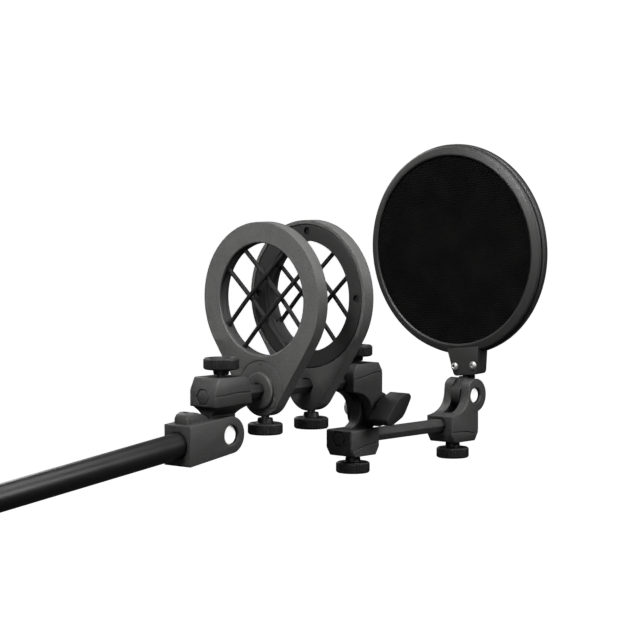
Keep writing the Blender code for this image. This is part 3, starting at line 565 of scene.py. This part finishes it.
WING_FRONT = 0.032  # outer face of the wing, from the bars' plane
WING_BACK = 0.0155
WING_OUTLINE = ((0.0087, 0.0126), (-0.0038, 0.0078), (-0.016, -0.0058), (-0.0128, -0.0099),
                (-0.0089, -0.0093), (0.0022, -0.0044), (0.0055, -0.0005), (0.0118, 0.0095))
WING_ROUNDING = 0.0026  # of the outline's corners
NUT_R = 0.0066
NUT_H = 0.0042


def make_wing_lever():
    """Wing grip, its hub, and the steel bolt with a nut that squeezes the fork."""
    centre = ARM_PIVOT + Vector((0, -(WING_FRONT + WING_BACK) / 2, 0))
    # filleted() leaves corners on the axis alone, so the outline is rounded one metre away from it
    shifted = filleted([(x + 1, z) for x, z in WING_OUTLINE], WING_ROUNDING, True)
    wing = plate("wing_lever", [(x - 1, z) for x, z in shifted], WING_FRONT - WING_BACK,
                 side_frame(centre), "knob_black")
    bevel(wing, 0.0011)
    across = along((0, -1, 0), ARM_PIVOT)
    half = BLOCK_W / 2
    hub = [(0, WING_BACK + 0.004), (0.005, WING_BACK + 0.004), (0.0054, half + GAP), (0, half + GAP)]
    join(wing, turned("wing_hub", hub, across))
    bolt_end = WING_BACK + 0.008
    cut(wing, rod("wing_bolt_hole", PIN_R + GAP, 0.0, bolt_end + GAP, across))
    nut_face = -half - GAP
    nut_back = nut_face - NUT_H
    bolt = [(0, bolt_end), (PIN_R, bolt_end), (PIN_R, nut_face), (NUT_R, nut_face),
            (NUT_R, nut_back + 0.0007), (NUT_R - 0.0008, nut_back), (0, nut_back)]
    turned("wing_bolt", bolt, across, "bare_steel")


# ---- shock mount rings

def teardrop():
    """The ring's circle, its tangent sides and the round base about the bar."""
    spread = degrees(acos((RING_R - RING_BASE_R) / BAR_DROP))
    upper = arc(0, 0, RING_R, -90 + spread, 270 - spread, 200)
    lower = arc(0, -BAR_DROP, RING_BASE_R, 270 - spread, 270 + spread, 60)
    return upper + lower


def cord_lines():
    """Name, direction in the ring's plane and offset from the axis of the four cords."""
    rising, falling = Vector((0, 1, 1)).normalized(), Vector((0, -1, 1)).normalized()
    return [("%s_%s" % (label, end), direction, side * CORD_OFFSET * square)
            for label, direction, square in (("rising", rising, falling), ("falling", falling, rising))
            for end, side in (("upper", 1), ("lower", -1))]


def chord(radius):
    """Half length of a cord line inside a circle of this radius."""
    return sqrt(radius ** 2 - CORD_OFFSET ** 2)


class Ring:
    """Depths along X from a ring's front face, which looks at the boom."""

    def __init__(self, number, start, cover_side, carrier_end, cord_depth, spare_depth):
        self.name = "ring_%d" % number
        self.centre = at(start, 0, 0)
        self.cover_side = cover_side  # 1: cover on the +X face, -1: on the -X face
        self.carrier_end = carrier_end  # the end of the cord carrier away from its flange
        self.cord_depth = cord_depth
        self.spare_depth = spare_depth  # a second row of cord holes, or None
        if cover_side > 0:
            inner = RING_THICK - COVER_THICK
            self.cover = (inner, RING_THICK)
            self.flange = (inner - GAP - CARRIER_FLANGE, inner - GAP)
        else:
            self.cover = (0.0, COVER_THICK)
            self.flange = (COVER_THICK + GAP, COVER_THICK + GAP + CARRIER_FLANGE)

    def depth_frame(self):
        """Local Z runs from the front face along +X."""
        return along((1, 0, 0), self.centre)


RINGS = (Ring(1, 0.0, 1, 0.0026, 0.0048, None), Ring(2, RING_SPACING, -1, 0.0126, 0.0109, 0.0063))


def stepped_bore(ring):
    """Cutter for everything that lies inside a ring frame: bore, carrier seat and cover recess."""
    cover, flange = ring.cover, ring.flange
    wall_r, flange_r, cover_r = CARRIER_WALL_R + GAP, CARRIER_FLANGE_R + GAP, COVER_R + GAP
    beyond = RING_THICK + 0.002
    if ring.cover_side > 0:
        start = ring.carrier_end - GAP
        profile = [(0, beyond), (cover_r, beyond), (cover_r, cover[0] - GAP), (flange_r, cover[0] - GAP),
                   (flange_r, flange[0] - GAP), (wall_r, flange[0] - GAP), (wall_r, start), (BORE_R, start),
                   (BORE_R, 0.0006), (BORE_R + 0.0026, -0.002), (0, -0.002)]
    else:
        profile = [(0, beyond), (wall_r, beyond), (wall_r, flange[1] + GAP), (flange_r, flange[1] + GAP),
                   (flange_r, cover[1] + GAP), (cover_r, cover[1] + GAP), (cover_r, -0.002), (0, -0.002)]
    return turned("stepped_bore", profile, ring.depth_frame(), steps=RING_STEPS)


COVER_SCREWS = [(COVER_SCREW_R * cos(radians(a)), COVER_SCREW_R * sin(radians(a))) for a in (90, 180, 270, 0)]


def make_ring_frame(ring):
    """Teardrop casting, bored for the carrier, recessed for the cover, with a hub on the bar."""
    name = ring.name
    middle = ring.centre + Vector((RING_THICK / 2, 0, 0))
    body = plate(name + "_frame", teardrop(), RING_THICK, front_frame(middle), "powder_coat")
    bevel(body, 0.0006)
    base = middle + Vector((0, 0, -BAR_DROP))
    face = RING_THICK / 2 + HUB_RISE
    hub = [(0, face), (HUB_R - 0.0008, face), (HUB_R, face - 0.0008), (HUB_R, 0.001), (0, 0.001)]
    join(body, turned("hub", hub, along((-ring.cover_side, 0, 0), base), steps=96))
    cut(body, stepped_bore(ring), hex_bore(base, 0.01), screw_hole(base, -1))
    for y, z in COVER_SCREWS:
        inward = along((ring.cover_side, 0, 0), middle + Vector((0, y, z)), SCREW_TURN)
        cut(body, rod("screw_seat", SCREW_BORE_R, -0.0032, 0.01, inward, steps=24))


def make_cover(ring):
    """Round cover with four counterbored holes, and a low-headed screw in each."""
    low, high = ring.cover
    name = ring.name + "_cover"
    edge = COVER_R - 0.0003
    profile = [(BORE_R, high), (edge, high), (edge, low), (BORE_R, low)]
    # the cover's darker moulded finish is partly its own colour and partly painted shade, for the shade ring
    # one casts on ring two's cover
    cover = turned(name, profile, ring.depth_frame(), "moulded", RING_STEPS, closed=True)
    beyond = 0.01
    bore = [(0, beyond), (COUNTERBORE_R, beyond), (COUNTERBORE_R, -COUNTERBORE),
            (SCREW_BORE_R, -COUNTERBORE), (SCREW_BORE_R, -beyond), (0, -beyond)]
    seat = -COUNTERBORE + GAP
    head = seat + 0.0005
    end = -RING_THICK / 2 - 0.0016
    screw = [(0, seat + 0.0001), (0.0011, seat + 0.0001), (0.0011, head), (0.0019, head), (0.0019, seat),
             (0.001, seat), (0.001, end), (0, end)]
    for number, (y, z) in enumerate(COVER_SCREWS, 1):
        place = ring.centre + Vector((high if ring.cover_side > 0 else low, y, z))
        outward = along((ring.cover_side, 0, 0), place, SCREW_TURN)
        cut(cover, turned("bore", bore, outward, steps=40))
        turned("%s_screw_%d" % (ring.name, number), screw, outward, "knob_black", 32)


def make_carrier(ring):
    """Sleeve with a flange under the cover; its wall holds the ends of the cords."""
    name = ring.name + "_cord_carrier"
    low, high = ring.flange
    end = ring.carrier_end
    if ring.cover_side > 0:
        profile = [(BORE_R, high), (CARRIER_FLANGE_R, high), (CARRIER_FLANGE_R, low), (CARRIER_WALL_R, low),
                   (CARRIER_WALL_R, end), (BORE_R, end)]
    else:
        profile = [(BORE_R, end), (CARRIER_WALL_R, end), (CARRIER_WALL_R, high), (CARRIER_FLANGE_R, high),
                   (CARRIER_FLANGE_R, low), (BORE_R, low)]
    carrier = turned(name, profile, ring.depth_frame(), "nylon_black", RING_STEPS, closed=True)
    reach = chord(CARRIER_WALL_R - 0.0008)
    for depth, radius in ((ring.cord_depth, CORD_HOLE_R), (ring.spare_depth, SPARE_HOLE_R)):
        for _, direction, offset in cord_lines() if depth else ():
            frame = along(direction, ring.centre + offset + Vector((depth, 0, 0)))
            cut(carrier, rod("cord_hole", radius, -reach, reach, frame, steps=24))


def make_cords(ring):
    """Four elastic cords in two crossing pairs; the falling pair passes in front."""
    end = chord(CARRIER_WALL_R - 0.0012)
    wall = chord(BORE_R)
    middle = CORD_OFFSET + 0.004
    stations = smoothed(((-end, 0.0), (-wall, 0.0), (-middle, 1.0), (0.0, 1.0), (middle, 1.0), (wall, 0.0),
                         (end, 0.0)))
    for label, direction, offset in cord_lines():
        bow = -CORD_BOW if label.startswith("falling") else CORD_BOW
        curve = bpy.data.curves.new("%s_cord_%s" % (ring.name, label), "CURVE")
        curve.dimensions = "3D"
        curve.bevel_depth = CORD_R
        curve.bevel_resolution = 5
        curve.use_fill_caps = True
        spline = curve.splines.new("POLY")
        spline.points.add(len(stations) - 1)
        for point, (reach, share) in zip(spline.points, stations):
            point.co = (*(direction * reach + Vector((bow * share, 0, 0))), 1.0)
        centre = ring.centre + offset + Vector((ring.cord_depth, 0, 0))
        new_object(curve.name, curve, shift(centre), "elastic_cord")


# ---- pop filter

POP_CENTRE = at(0.2198, 0.0078, 0.0258)
PLATE_TOP = 0.0734  # top of the neck plate, below the filter's centre
PLATE_LOW = 0.0942
STEM_SHIFT = 0.0023  # brings the stem over the slot of its fork
NECK_SHIFT = -0.0007  # the neck stands a little off the filter's centre line
STEM_X = 0.0049  # the tongue's upper end stands this far behind the pivot
STEM_LOW = 0.0972  # lower end of the stem, below the filter's centre
STEM_HALF = 0.0027  # half the thickness of the stem
POP_TONGUE_R = 0.0099
NECK_SCREW_X = 0.0084
NECK_SCREW_DROP = 0.0872  # neck screws below the filter's centre


def pop_frame():
    """Local Z is the filter's axis, away from the microphone; local Y runs up the filter."""
    axis = Matrix.Rotation(POP_YAW, 4, "Z") @ Matrix.Rotation(-POP_PITCH, 4, "Y")
    roll = Matrix.Rotation(-POP_ROLL, 4, "X")
    return shift(POP_CENTRE) @ axis @ roll @ front_frame(Vector())


def neck_outline():
    """Tapered tab that carries the filter's two screws, with its top inside the ring."""
    half_top, half_low, corner = 0.0145, 0.011, 0.003
    left, right, low = NECK_SHIFT - half_low, NECK_SHIFT + half_low, -PLATE_LOW
    bottom = arc(left + corner, low + corner, corner, 190, 270, 4)
    bottom += arc(right - corner, low + corner, corner, 270, 350, 4)
    return bottom + [(NECK_SHIFT + half_top, -PLATE_TOP), (NECK_SHIFT - half_top, -PLATE_TOP)]


def make_pop_half(name, low, high):
    """Half of the round frame with its lip and its share of the neck."""
    frame = pop_frame()
    recess = MESH_R + GAP
    if name == "pop_front_frame":
        profile = [(recess, high), (POP_R - 0.0012, high), (POP_R, high - 0.0008), (POP_R, low + 0.0034),
                   (POP_R - 0.001, low + 0.0021), (POP_BORE_R + 0.0012, low), (POP_BORE_R, low + 0.0008),
                   (POP_BORE_R, low + LIP), (recess, low + LIP)]
    else:
        outer, soft = POP_REAR_R, 0.0016
        profile = [(POP_BORE_R, high - LIP), (POP_BORE_R, high - 0.0008), (POP_BORE_R + 0.0008, high),
                   (outer - soft, high), (outer, high - soft), (outer, low + 0.0008), (outer - 0.0012, low),
                   (recess, low), (recess, high - LIP)]
    half = turned(name, profile, frame, "moulded", RING_STEPS, closed=True)
    tab = plate("tab", neck_outline(), high - low, frame @ shift((0, 0, (low + high) / 2)))
    bevel(tab, 0.0007)
    join(half, tab)
    return half


def make_pop_filter():
    frame = pop_frame()
    front = make_pop_half("pop_front_frame", 0.0, POP_HALF)
    rear = make_pop_half("pop_rear_frame", POP_HALF + GAP, POP_DEPTH)
    add_pop_tongue(rear, frame)
    thread_end = 0.0085
    screw = [(0, thread_end), (0.0011, thread_end), (0.0011, -GAP), (0.0032, -GAP), (0.0031, -0.0009),
             (0.0024, -0.0017), (0.0013, -0.0021), (0, -0.0021)]
    for number, side in ((1, -1), (2, 1)):
        place = frame @ shift((NECK_SHIFT + side * NECK_SCREW_X, -NECK_SCREW_DROP, 0))
        hole = rod("screw_hole", 0.0014, -0.001, thread_end + 0.0005, place, steps=24)
        cut(front, hole)
        cut(rear, hole)
        cut(turned("pop_neck_screw_%d" % number, screw, place, "screw_steel", 48),
            rod("socket", 0.0013, -0.003, -0.0009, place, steps=6))
    over = Matrix.Rotation(pi, 4, "X")
    make_net("pop_mesh_front", frame @ shift((0, 0, LIP + GAP + MESH_TOP)) @ over)
    make_net("pop_mesh_rear", frame @ shift((0, 0, POP_DEPTH - LIP - GAP - MESH_TOP)))


def make_net(name, place):
    """Stretched net: ridges round sunk six-sided cells, on a plain back."""
    points = []
    index = {}

    def point(x, y, z):
        key = tuple(round(c * 1e6) for c in (x, y, z))
        if key not in index:
            index[key] = len(points)
            points.append((x, y, z))
        return index[key]

    reach = MESH_CELL / sqrt(3)
    rows = int(MESH_R / (MESH_CELL * sqrt(3) / 2)) + 1
    turns = [radians(60 * k + 30) for k in range(6)]
    faces = []
    rims = {}
    for row in range(-rows, rows + 1):
        for column in range(-rows, rows + 1):
            x = MESH_CELL * (column + (0.5 if row % 2 else 0.0))
            y = MESH_CELL * row * sqrt(3) / 2
            if sqrt(x * x + y * y) + reach > MESH_R:
                continue
            corners = [(x + reach * cos(a), y + reach * sin(a)) for a in turns]
            top = [point(px, py, MESH_TOP) for px, py in corners]
            back = [point(px, py, 0.0) for px, py in corners]
            floor = [point(x + (px - x) * MESH_FLOOR, y + (py - y) * MESH_FLOOR, MESH_SUNK)
                     for px, py in corners]
            faces += [floor, back[::-1]]
            for k in range(6):
                following = (k + 1) % 6
                faces.append([top[k], top[following], floor[following], floor[k]])
                rims[(top[k], top[following])] = (back[k], back[following])
    for (start, end), (low_start, low_end) in rims.items():
        if (end, start) not in rims:
            faces.append([start, low_start, low_end, end])
    mesh = bpy.data.meshes.new(name)
    mesh.from_pydata(points, [], faces)
    return new_object(name, mesh, place, "filter_mesh")


def add_pop_tongue(rear, frame):
    """Tongue about the pop filter's pivot, and the stem that leads from it into the neck."""
    ear = arc(0, 0, POP_TONGUE_R, 150, 395, 48)
    outline = ear + [(STEM_X + 0.0045, 0.0134), (STEM_X - 0.0045, 0.0134)]
    tongue = plate("tongue", outline, TONGUE_W, side_frame(POP_PIVOT))
    height = STEM_LOW - PLATE_LOW + 0.005
    middle = (STEM_SHIFT, -STEM_LOW + height / 2, POP_HALF + GAP + STEM_HALF)
    stem = box("stem", (0.0074, height, 2 * STEM_HALF), frame @ shift(middle))
    join(rear, tongue, stem)
    cut(rear, pin_bore(POP_PIVOT))


# ---- detail that the CAD leaves out

KNURL_DEPTH = 0.00045
GROOVE = 0.0006  # width and depth of a scribed line or parting line


PARTING_LINES = {
    "left_head": (LEFT_HEAD, ((-0.019, 0.0008), (-0.006, 0.0012), (0.006, 0.0021), (0.019, 0.0016))),
    "right_head": (RIGHT_HEAD, ((-0.017, 0.0022), (-0.006, 0.003), (0.004, 0.0052), (0.017, 0.006))),
    "arm_slider": (SLIDER, ((-0.017, -0.0098), (-0.009, -0.0072), (0.000, -0.0052), (0.008, -0.0046),
                            (0.017, -0.0036))),
    "pop_clamp": (POP_CLAMP, ((-0.017, -0.0052), (-0.004, -0.005), (0.004, -0.0056),
                              (0.01, -0.007), (0.017, -0.005))),
}


def add_parting_lines():
    """The seam that the two halves of a casting die leave along a block's sides."""
    for name, (origin, points) in PARTING_LINES.items():
        fine = smoothed(points)
        outline = [(x, z + GROOVE / 2) for x, z in fine] + [(x, z - GROOVE / 2) for x, z in reversed(fine)]
        for side in (-1, 1):
            place = side_frame(origin + Vector((0, side * BLOCK_W / 2, 0)))
            cut(SOURCES[name][0], plate("seam", outline, 2 * GROOVE, place))


def add_ring_details():
    """Two scribed circles about and beside the bar, and an index dot, on ring one's front face."""
    body = SOURCES["ring_1_frame"][0]
    face = along((-1, 0, 0), RINGS[0].centre + Vector((0, 0, -BAR_DROP)))
    for name, radius, y, z in (("hub_scribe", 0.0205, 0, 0), ("plug_scribe", 0.0047, -0.0095, -0.0073)):
        inner, outer = radius - GROOVE / 2, radius + GROOVE / 2
        ring = [(inner, 0.002), (outer, 0.002), (outer, -GROOVE), (inner, -GROOVE)]
        cut(body, turned(name, ring, shift((0, y, z)) @ face, steps=96, closed=True))
    dot = shift((0, 0, BAR_DROP - COVER_SCREW_R)) @ face
    cut(body, rod("index_dot", 0.0008, -0.0005, 0.002, dot, steps=24))


def add_cord_rims():
    """A countersunk rim where each cord leaves the carrier's wall."""
    wall = chord(BORE_R)
    rim = [(0, wall + 0.0011), (CORD_HOLE_R - 0.0006, wall + 0.0011), (CORD_HOLE_R + 0.0014, wall - 0.0024),
           (0, wall - 0.0024)]
    for ring in RINGS:
        carrier = SOURCES[ring.name + "_cord_carrier"][0]
        for _, direction, offset in cord_lines():
            for end in (-1, 1):
                place = along(direction * end, ring.centre + offset + Vector((ring.cord_depth, 0, 0)), 0.1)
                cut(carrier, turned("rim", rim, place, steps=24))


def knurl(mesh):
    """Pulls alternate facets of a knob's rim inwards into upright ridges."""
    for vertex in mesh.vertices:
        x, y, z = vertex.co
        radius = sqrt(x * x + y * y)
        if radius < KNOB_R - 0.0003:
            continue
        angle = degrees(pi + (acos(max(-1, min(1, x / radius))) * (1 if y >= 0 else -1)))
        phase = (angle * KNURLS / 360) % 1.0
        dip = KNURL_DEPTH if phase < 0.5 else 0.0
        scale = (radius - dip) / radius
        vertex.co = (x * scale, y * scale, z)


def bake_pieces():
    """Turns every source into a plain mesh piece that stands for its CAD node."""
    bpy.context.view_layer.update()
    graph = bpy.context.evaluated_depsgraph_get()
    baked = []
    for name, (source, finish) in SOURCES.items():
        mesh = bpy.data.meshes.new_from_object(source.evaluated_get(graph))
        mesh.name = name + "_mesh"
        weld_and_orient(mesh)
        if name.endswith("_knob"):
            knurl(mesh)
        mesh.materials.clear()
        mesh.materials.append(MATERIALS[finish])
        # painted shade: the upper bar's sides get a darker finish than its end faces and the lower bar,
        # standing for the shade they lie in
        if name == "upper_hex_bar":
            mesh.materials.append(MATERIALS["black_oxide"])
            for face in mesh.polygons:
                face.material_index = 0 if abs(face.normal.x) > 0.9 else 1
        if name.startswith("pop_mesh"):
            mesh.materials.append(MATERIALS["mesh_gap"])
            for face in mesh.polygons:
                face.material_index = 1 if abs(face.center.z - MESH_SUNK) < WELD else 0
        mesh.shade_smooth()
        mesh.set_sharp_from_angle(angle=SHARP_ANGLE)
        piece = linked("piece_" + name, mesh)
        piece.matrix_world = source.matrix_world
        baked.append((name, piece, finish))
    for source in [source for source, _ in SOURCES.values()] + TOOLS:
        bpy.data.objects.remove(source, do_unlink=True)
    for name, piece, finish in baked:
        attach(piece, BODY_OF[name])
        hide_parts(name)


# ---- materials

class Shader:
    """A Principled material with a few chained helpers; sizes are in metres."""

    def __init__(self, name):
        self.material = bpy.data.materials.new(name)
        self.material.use_nodes = True
        self.tree = self.material.node_tree
        self.surface = self.tree.nodes["Principled BSDF"]
        self.place = self.node("ShaderNodeTexCoord").outputs["Object"]

    def feed(self, socket, value):
        """Sets a socket, or links another node's output to it."""
        if isinstance(value, bpy.types.NodeSocket):
            self.tree.links.new(value, socket)
        else:
            socket.default_value = value

    def node(self, kind, inputs=(), **settings):
        node = self.tree.nodes.new(kind)
        for key, value in settings.items():
            setattr(node, key, value)
        for key, value in dict(inputs).items():
            self.feed(node.inputs[key], value)
        return node

    def finish(self, colour, roughness, gloss, normal=None, metallic=0.0):
        """Gives the surface its values and returns the material."""
        for key, value in (("Base Color", colour), ("Roughness", roughness), ("Metallic", metallic),
                           ("Specular IOR Level", gloss), ("Normal", normal)):
            if value is not None:
                self.feed(self.surface.inputs[key], value)
        return self.material

    def noise(self, size, detail=2.0, place=None):
        """Noise between 0 and 1 whose blobs are about this size."""
        return self.node("ShaderNodeTexNoise", {"Vector": place or self.place, "Scale": 1 / size,
                                                "Detail": detail}).outputs["Fac"]

    def spread(self, value, low, high, out_low=0.0, out_high=1.0):
        return self.node("ShaderNodeMapRange", {"Value": value, "From Min": low, "From Max": high,
                                                "To Min": out_low, "To Max": out_high}).outputs["Result"]

    def blend(self, share, first, second):
        mix = self.node("ShaderNodeMix", {"Factor": share}, data_type="RGBA")
        for socket, value in zip((mix.inputs[6], mix.inputs[7]), (first, second)):
            self.feed(socket, (*value, 1.0) if isinstance(value, tuple) else value)
        return mix.outputs[2]

    def combined(self, kind, operation, values):
        node = self.node(kind, operation=operation)
        for socket, value in zip(node.inputs, values):
            self.feed(socket, value)
        return node

    def math(self, operation, *values):
        return self.combined("ShaderNodeMath", operation, values).outputs[0]

    def dot(self, *values):
        return self.combined("ShaderNodeVectorMath", "DOT_PRODUCT", values).outputs["Value"]

    def rounding(self, radius):
        """A normal that rounds sharp edges, and a mask of those edges."""
        normal = self.node("ShaderNodeBevel", {"Radius": radius}, samples=4).outputs["Normal"]
        flat = self.node("ShaderNodeNewGeometry").outputs["Normal"]
        return normal, self.spread(self.dot(normal, flat), 0.99, 0.8, 0.0, 1.0)

    def painted_corner_shade(self, reach):
        """Painted shade: 0 deep in a corner between pieces, where the colour is darkened most, 1 out in the
        open.
        """
        openness = self.node("ShaderNodeAmbientOcclusion", {"Distance": reach}, samples=6).outputs["AO"]
        return self.spread(openness, 0.3, 0.95)

    def bump(self, height, depth, normal=None, strength=1.0):
        inputs = {"Height": height, "Distance": depth, "Strength": strength}
        if normal:
            inputs["Normal"] = normal
        return self.node("ShaderNodeBump", inputs).outputs["Normal"]


def grey(value):
    return (value, value, value)


def coated(name, dark, light, roughness, grain, depth, edge, edge_tone, edge_share, gloss=0.2, reach=0.022):
    """Painted or moulded surface: fine grain, soft mottling, rubbed edges, and shade painted dark into
    corners between pieces.
    """
    s = Shader("look_" + name)
    normal, edges = s.rounding(edge)
    fine = s.noise(grain)
    broad = s.noise(0.012, 3.0)
    tone = s.blend(s.spread(fine, 0.35, 0.65), dark, light)
    tone = s.blend(s.spread(broad, 0.3, 0.7, 0.0, 0.35), tone, tuple(c * 0.72 for c in dark))
    rubbed = s.math("MULTIPLY", edges, s.spread(s.noise(0.0022, 3.0), 0.42, 0.62, 0.0, edge_share))
    # painted shade: the tone darkens towards a fraction of the dark tone in corners and between pieces
    tone = s.blend(s.painted_corner_shade(reach), tuple(c * 0.15 for c in dark), tone)
    rough = s.spread(s.math("ADD", fine, broad), 0.7, 1.3, roughness - 0.06, roughness + 0.08)
    return s.finish(s.blend(rubbed, tone, grey(edge_tone)), rough, gloss, s.bump(fine, depth, normal))


def make_steel(name, dark, light, metallic):
    """Turned metal with fine lines round it, and a highlight painted brighter along its edges."""
    s = Shader("look_" + name)
    normal, edges = s.rounding(0.0003)
    stretch = s.node("ShaderNodeMapping", {"Vector": s.place, "Scale": (1.0, 1.0, 14.0)}).outputs["Vector"]
    lines = s.noise(0.0006, 3.0, stretch)
    tone = s.blend(s.spread(lines, 0.3, 0.7), dark, light)
    # painted highlight: the tone is brightened along the edges
    tone = s.blend(s.math("MULTIPLY", edges, 0.5), tone, tuple(min(1.0, c * 1.3) for c in light))
    rough = s.spread(s.noise(0.0012, 3.0), 0.3, 0.7, 0.3, 0.48)
    return s.finish(tone, rough, None, s.bump(lines, 0.00002, normal), metallic)


BRAID = 0.0011  # pitch of a cord's woven sleeve


def make_cord_look():
    """Diagonal braid of a woven sleeve; a cord lies at 45 degrees in its ring's plane."""
    s = Shader("look_elastic_cord")
    waves = []
    for direction in ((0.6, 1.0, 0.4), (-0.6, 1.0, 0.4), (0.6, 0.4, 1.0), (-0.6, 0.4, 1.0)):
        waves.append(s.math("SINE", s.math("MULTIPLY", s.dot(s.place, direction), 2 * pi / BRAID)))
    first = s.math("MULTIPLY", waves[0], waves[1])
    second = s.math("MULTIPLY", waves[2], waves[3])
    share = s.spread(s.math("ADD", first, second), -1.2, 1.2)
    fuzz = s.noise(0.00012)
    height = s.math("ADD", share, s.math("MULTIPLY", fuzz, 0.3))
    return s.finish(s.blend(share, grey(0.002), grey(0.008)), s.spread(fuzz, 0.3, 0.7, 0.65, 0.9), 0.12,
                    s.bump(height, 0.00012))


def make_thread_look():
    """Black knitted thread, a little clouded where the net's two layers cross."""
    s = Shader("look_filter_mesh")
    cloud = s.spread(s.noise(0.024), 0.38, 0.62, 0.25)
    fuzz = s.noise(0.0003)
    thread = s.math("MULTIPLY", cloud, s.spread(fuzz, 0.2, 0.8, 0.5))
    return s.finish(s.blend(thread, grey(0.0002), (0.0017, 0.0016, 0.0015)),
                    s.spread(fuzz, 0.0, 1.0, 0.6, 0.8), 0.03)


def make_gap_look():
    """The dark inside of a cell of the net."""
    s = Shader("look_mesh_gap")
    return s.finish(s.blend(s.noise(0.0004), grey(0.0002), grey(0.0006)), 0.95, 0.0)


# Name, dark and light tone, roughness, grain, bump depth, edge radius, edge tone and share, gloss,
# reach of the shade painted into corners
COATINGS = (
    ("powder_coat", (0.024, 0.024, 0.0235), (0.056, 0.0555, 0.0545), 0.52, 0.00075, 0.00004, 0.0011,
     0.1, 0.25, 0.2, 0.045),
    ("cast_block", (0.01, 0.01, 0.0098), (0.033, 0.0325, 0.032), 0.5, 0.00075, 0.00005, 0.0012,
     0.09, 0.25, 0.18, 0.032),
    ("moulded", (0.007, 0.007, 0.0068), (0.015, 0.0149, 0.0146), 0.48, 0.0006, 0.00002, 0.0008,
     0.05, 0.15, 0.17),
    ("satin_tube", grey(0.003), grey(0.006), 0.34, 0.0003, 0.00001, 0.0004, 0.05, 0.3),
    ("knob_black", grey(0.003), grey(0.007), 0.46, 0.00025, 0.00003, 0.0003, 0.04, 0.35, 0.18),
    # darker finish for the upper bar's sides: painted shade
    ("black_oxide", grey(0.012), grey(0.022), 0.42, 0.00035, 0.00003, 0.0004, 0.1, 0.4),
    ("nylon_black", grey(0.012), grey(0.018), 0.58, 0.00045, 0.00003, 0.0004, 0.05, 0.3),
)
STEELS = (("bare_steel", (0.8, 0.8, 0.79), (0.93, 0.93, 0.92), 0.25),
          ("screw_steel", (0.16, 0.16, 0.16), (0.26, 0.26, 0.25), 0.8),
          ("dark_steel", grey(0.018), grey(0.03), 0.6))
MATERIALS = {row[0]: coated(*row) for row in COATINGS}
MATERIALS.update({row[0]: make_steel(*row) for row in STEELS})
MATERIALS.update(elastic_cord=make_cord_look(), filter_mesh=make_thread_look(), mesh_gap=make_gap_look())


# ---- camera, floor and light

CAMERA_PLACE = (-1.041293, -1.20117, 0.230121)
CAMERA_AIM = (0.7489, 0.6588, -0.0732)  # the direction it looks in
CAMERA_LENS = 146.25
SPAN = 20.0  # half width of the studio
FLOOR_Z = -1.00
WHITE = (1.0, 1.0, 1.0, 1.0)

# Name, place, target, diameter in metres, power in watts, spread in degrees
LIGHTS = (("key", (-0.6, -0.2, 0.98), (0.33, 0, 0.24), 0.6, 4.6, 42),
          ("top", (0.28, -0.16, 0.85), (0.3, 0, 0.2), 0.8, 11.0, 180),
          ("side", (0.7, -1.3, 0.85), (0.4, 0, 0.14), 0.8, 5.2, 60),
          ("front", (-1.3, -0.9, 0.1), (0.3, 0, 0.06), 1.0, 2.6, 90),
          ("back", (0.7, 1.3, 0.8), (0.3, 0, 0.14), 0.9, 12.0, 180))


def look(direction):
    return Vector(direction).to_track_quat("-Z", "Y").to_euler()


def add_camera():
    data = bpy.data.cameras.new("camera")
    data.lens = CAMERA_LENS
    data.sensor_width = 36.0
    data.clip_end = 50.0
    camera = linked("camera", data)
    camera.location = CAMERA_PLACE
    camera.rotation_euler = look(CAMERA_AIM)
    bpy.context.scene.camera = camera


def add_light(name, place, target, size, power, spread):
    data = bpy.data.lights.new(name, "AREA")
    data.shape = "DISK"
    data.size = size
    data.energy = power
    data.spread = radians(spread)
    light = linked(name, data)
    light.location = place
    light.rotation_euler = look(Vector(target) - Vector(place))


def add_backdrop(name, mesh):
    """A white stage surface that the object's own light does not come from."""
    paint = bpy.data.materials.new(name + "_paint")
    paint.use_nodes = True
    shader = paint.node_tree.nodes["Principled BSDF"]
    for key, value in (("Base Color", (0.9, 0.9, 0.9, 1.0)), ("Roughness", 0.9), ("Emission Color", WHITE),
                       ("Emission Strength", 1.0)):
        shader.inputs[key].default_value = value
    mesh.materials.append(paint)
    surface = linked(name, mesh)
    surface.visible_diffuse = surface.visible_glossy = surface.visible_shadow = False


def add_studio():
    world = bpy.data.worlds.new("studio")
    world.use_nodes = True
    background = world.node_tree.nodes["Background"]
    background.inputs["Color"].default_value = WHITE
    background.inputs["Strength"].default_value = 0.05
    scene = bpy.context.scene
    scene.world = world
    scene.view_settings.view_transform = "Standard"
    for row in LIGHTS:
        add_light(*row)
    floor = bpy.data.meshes.new("floor")
    corners = [(x, y, FLOOR_Z) for x, y in ((-SPAN, -SPAN), (SPAN, -SPAN), (SPAN, SPAN), (-SPAN, SPAN))]
    floor.from_pydata(corners, [], [(0, 1, 2, 3)])
    add_backdrop("floor", floor)
    shape = bmesh.new()
    bmesh.ops.create_uvsphere(shape, u_segments=48, v_segments=24, radius=SPAN)
    add_backdrop("backdrop", mesh_from("backdrop", shape))


add_camera()
make_boom()
make_clevis()
make_left_head()
make_bars()
for ring in RINGS:
    for make in (make_ring_frame, make_cover, make_carrier, make_cords):
        make(ring)
cut(make_fork_block("right_head", RIGHT_HEAD, -1), pin_bore(ARM_PIVOT))
make_slider()
make_wing_lever()
fit_pin("pop_clamp_pin", make_fork_block("pop_clamp", POP_CLAMP, 1), POP_PIVOT, POP_PIN_HEAD_R)
make_pop_filter()
make_thumb_screws()
add_parting_lines()
add_ring_details()
add_cord_rims()
bake_pieces()
add_studio()
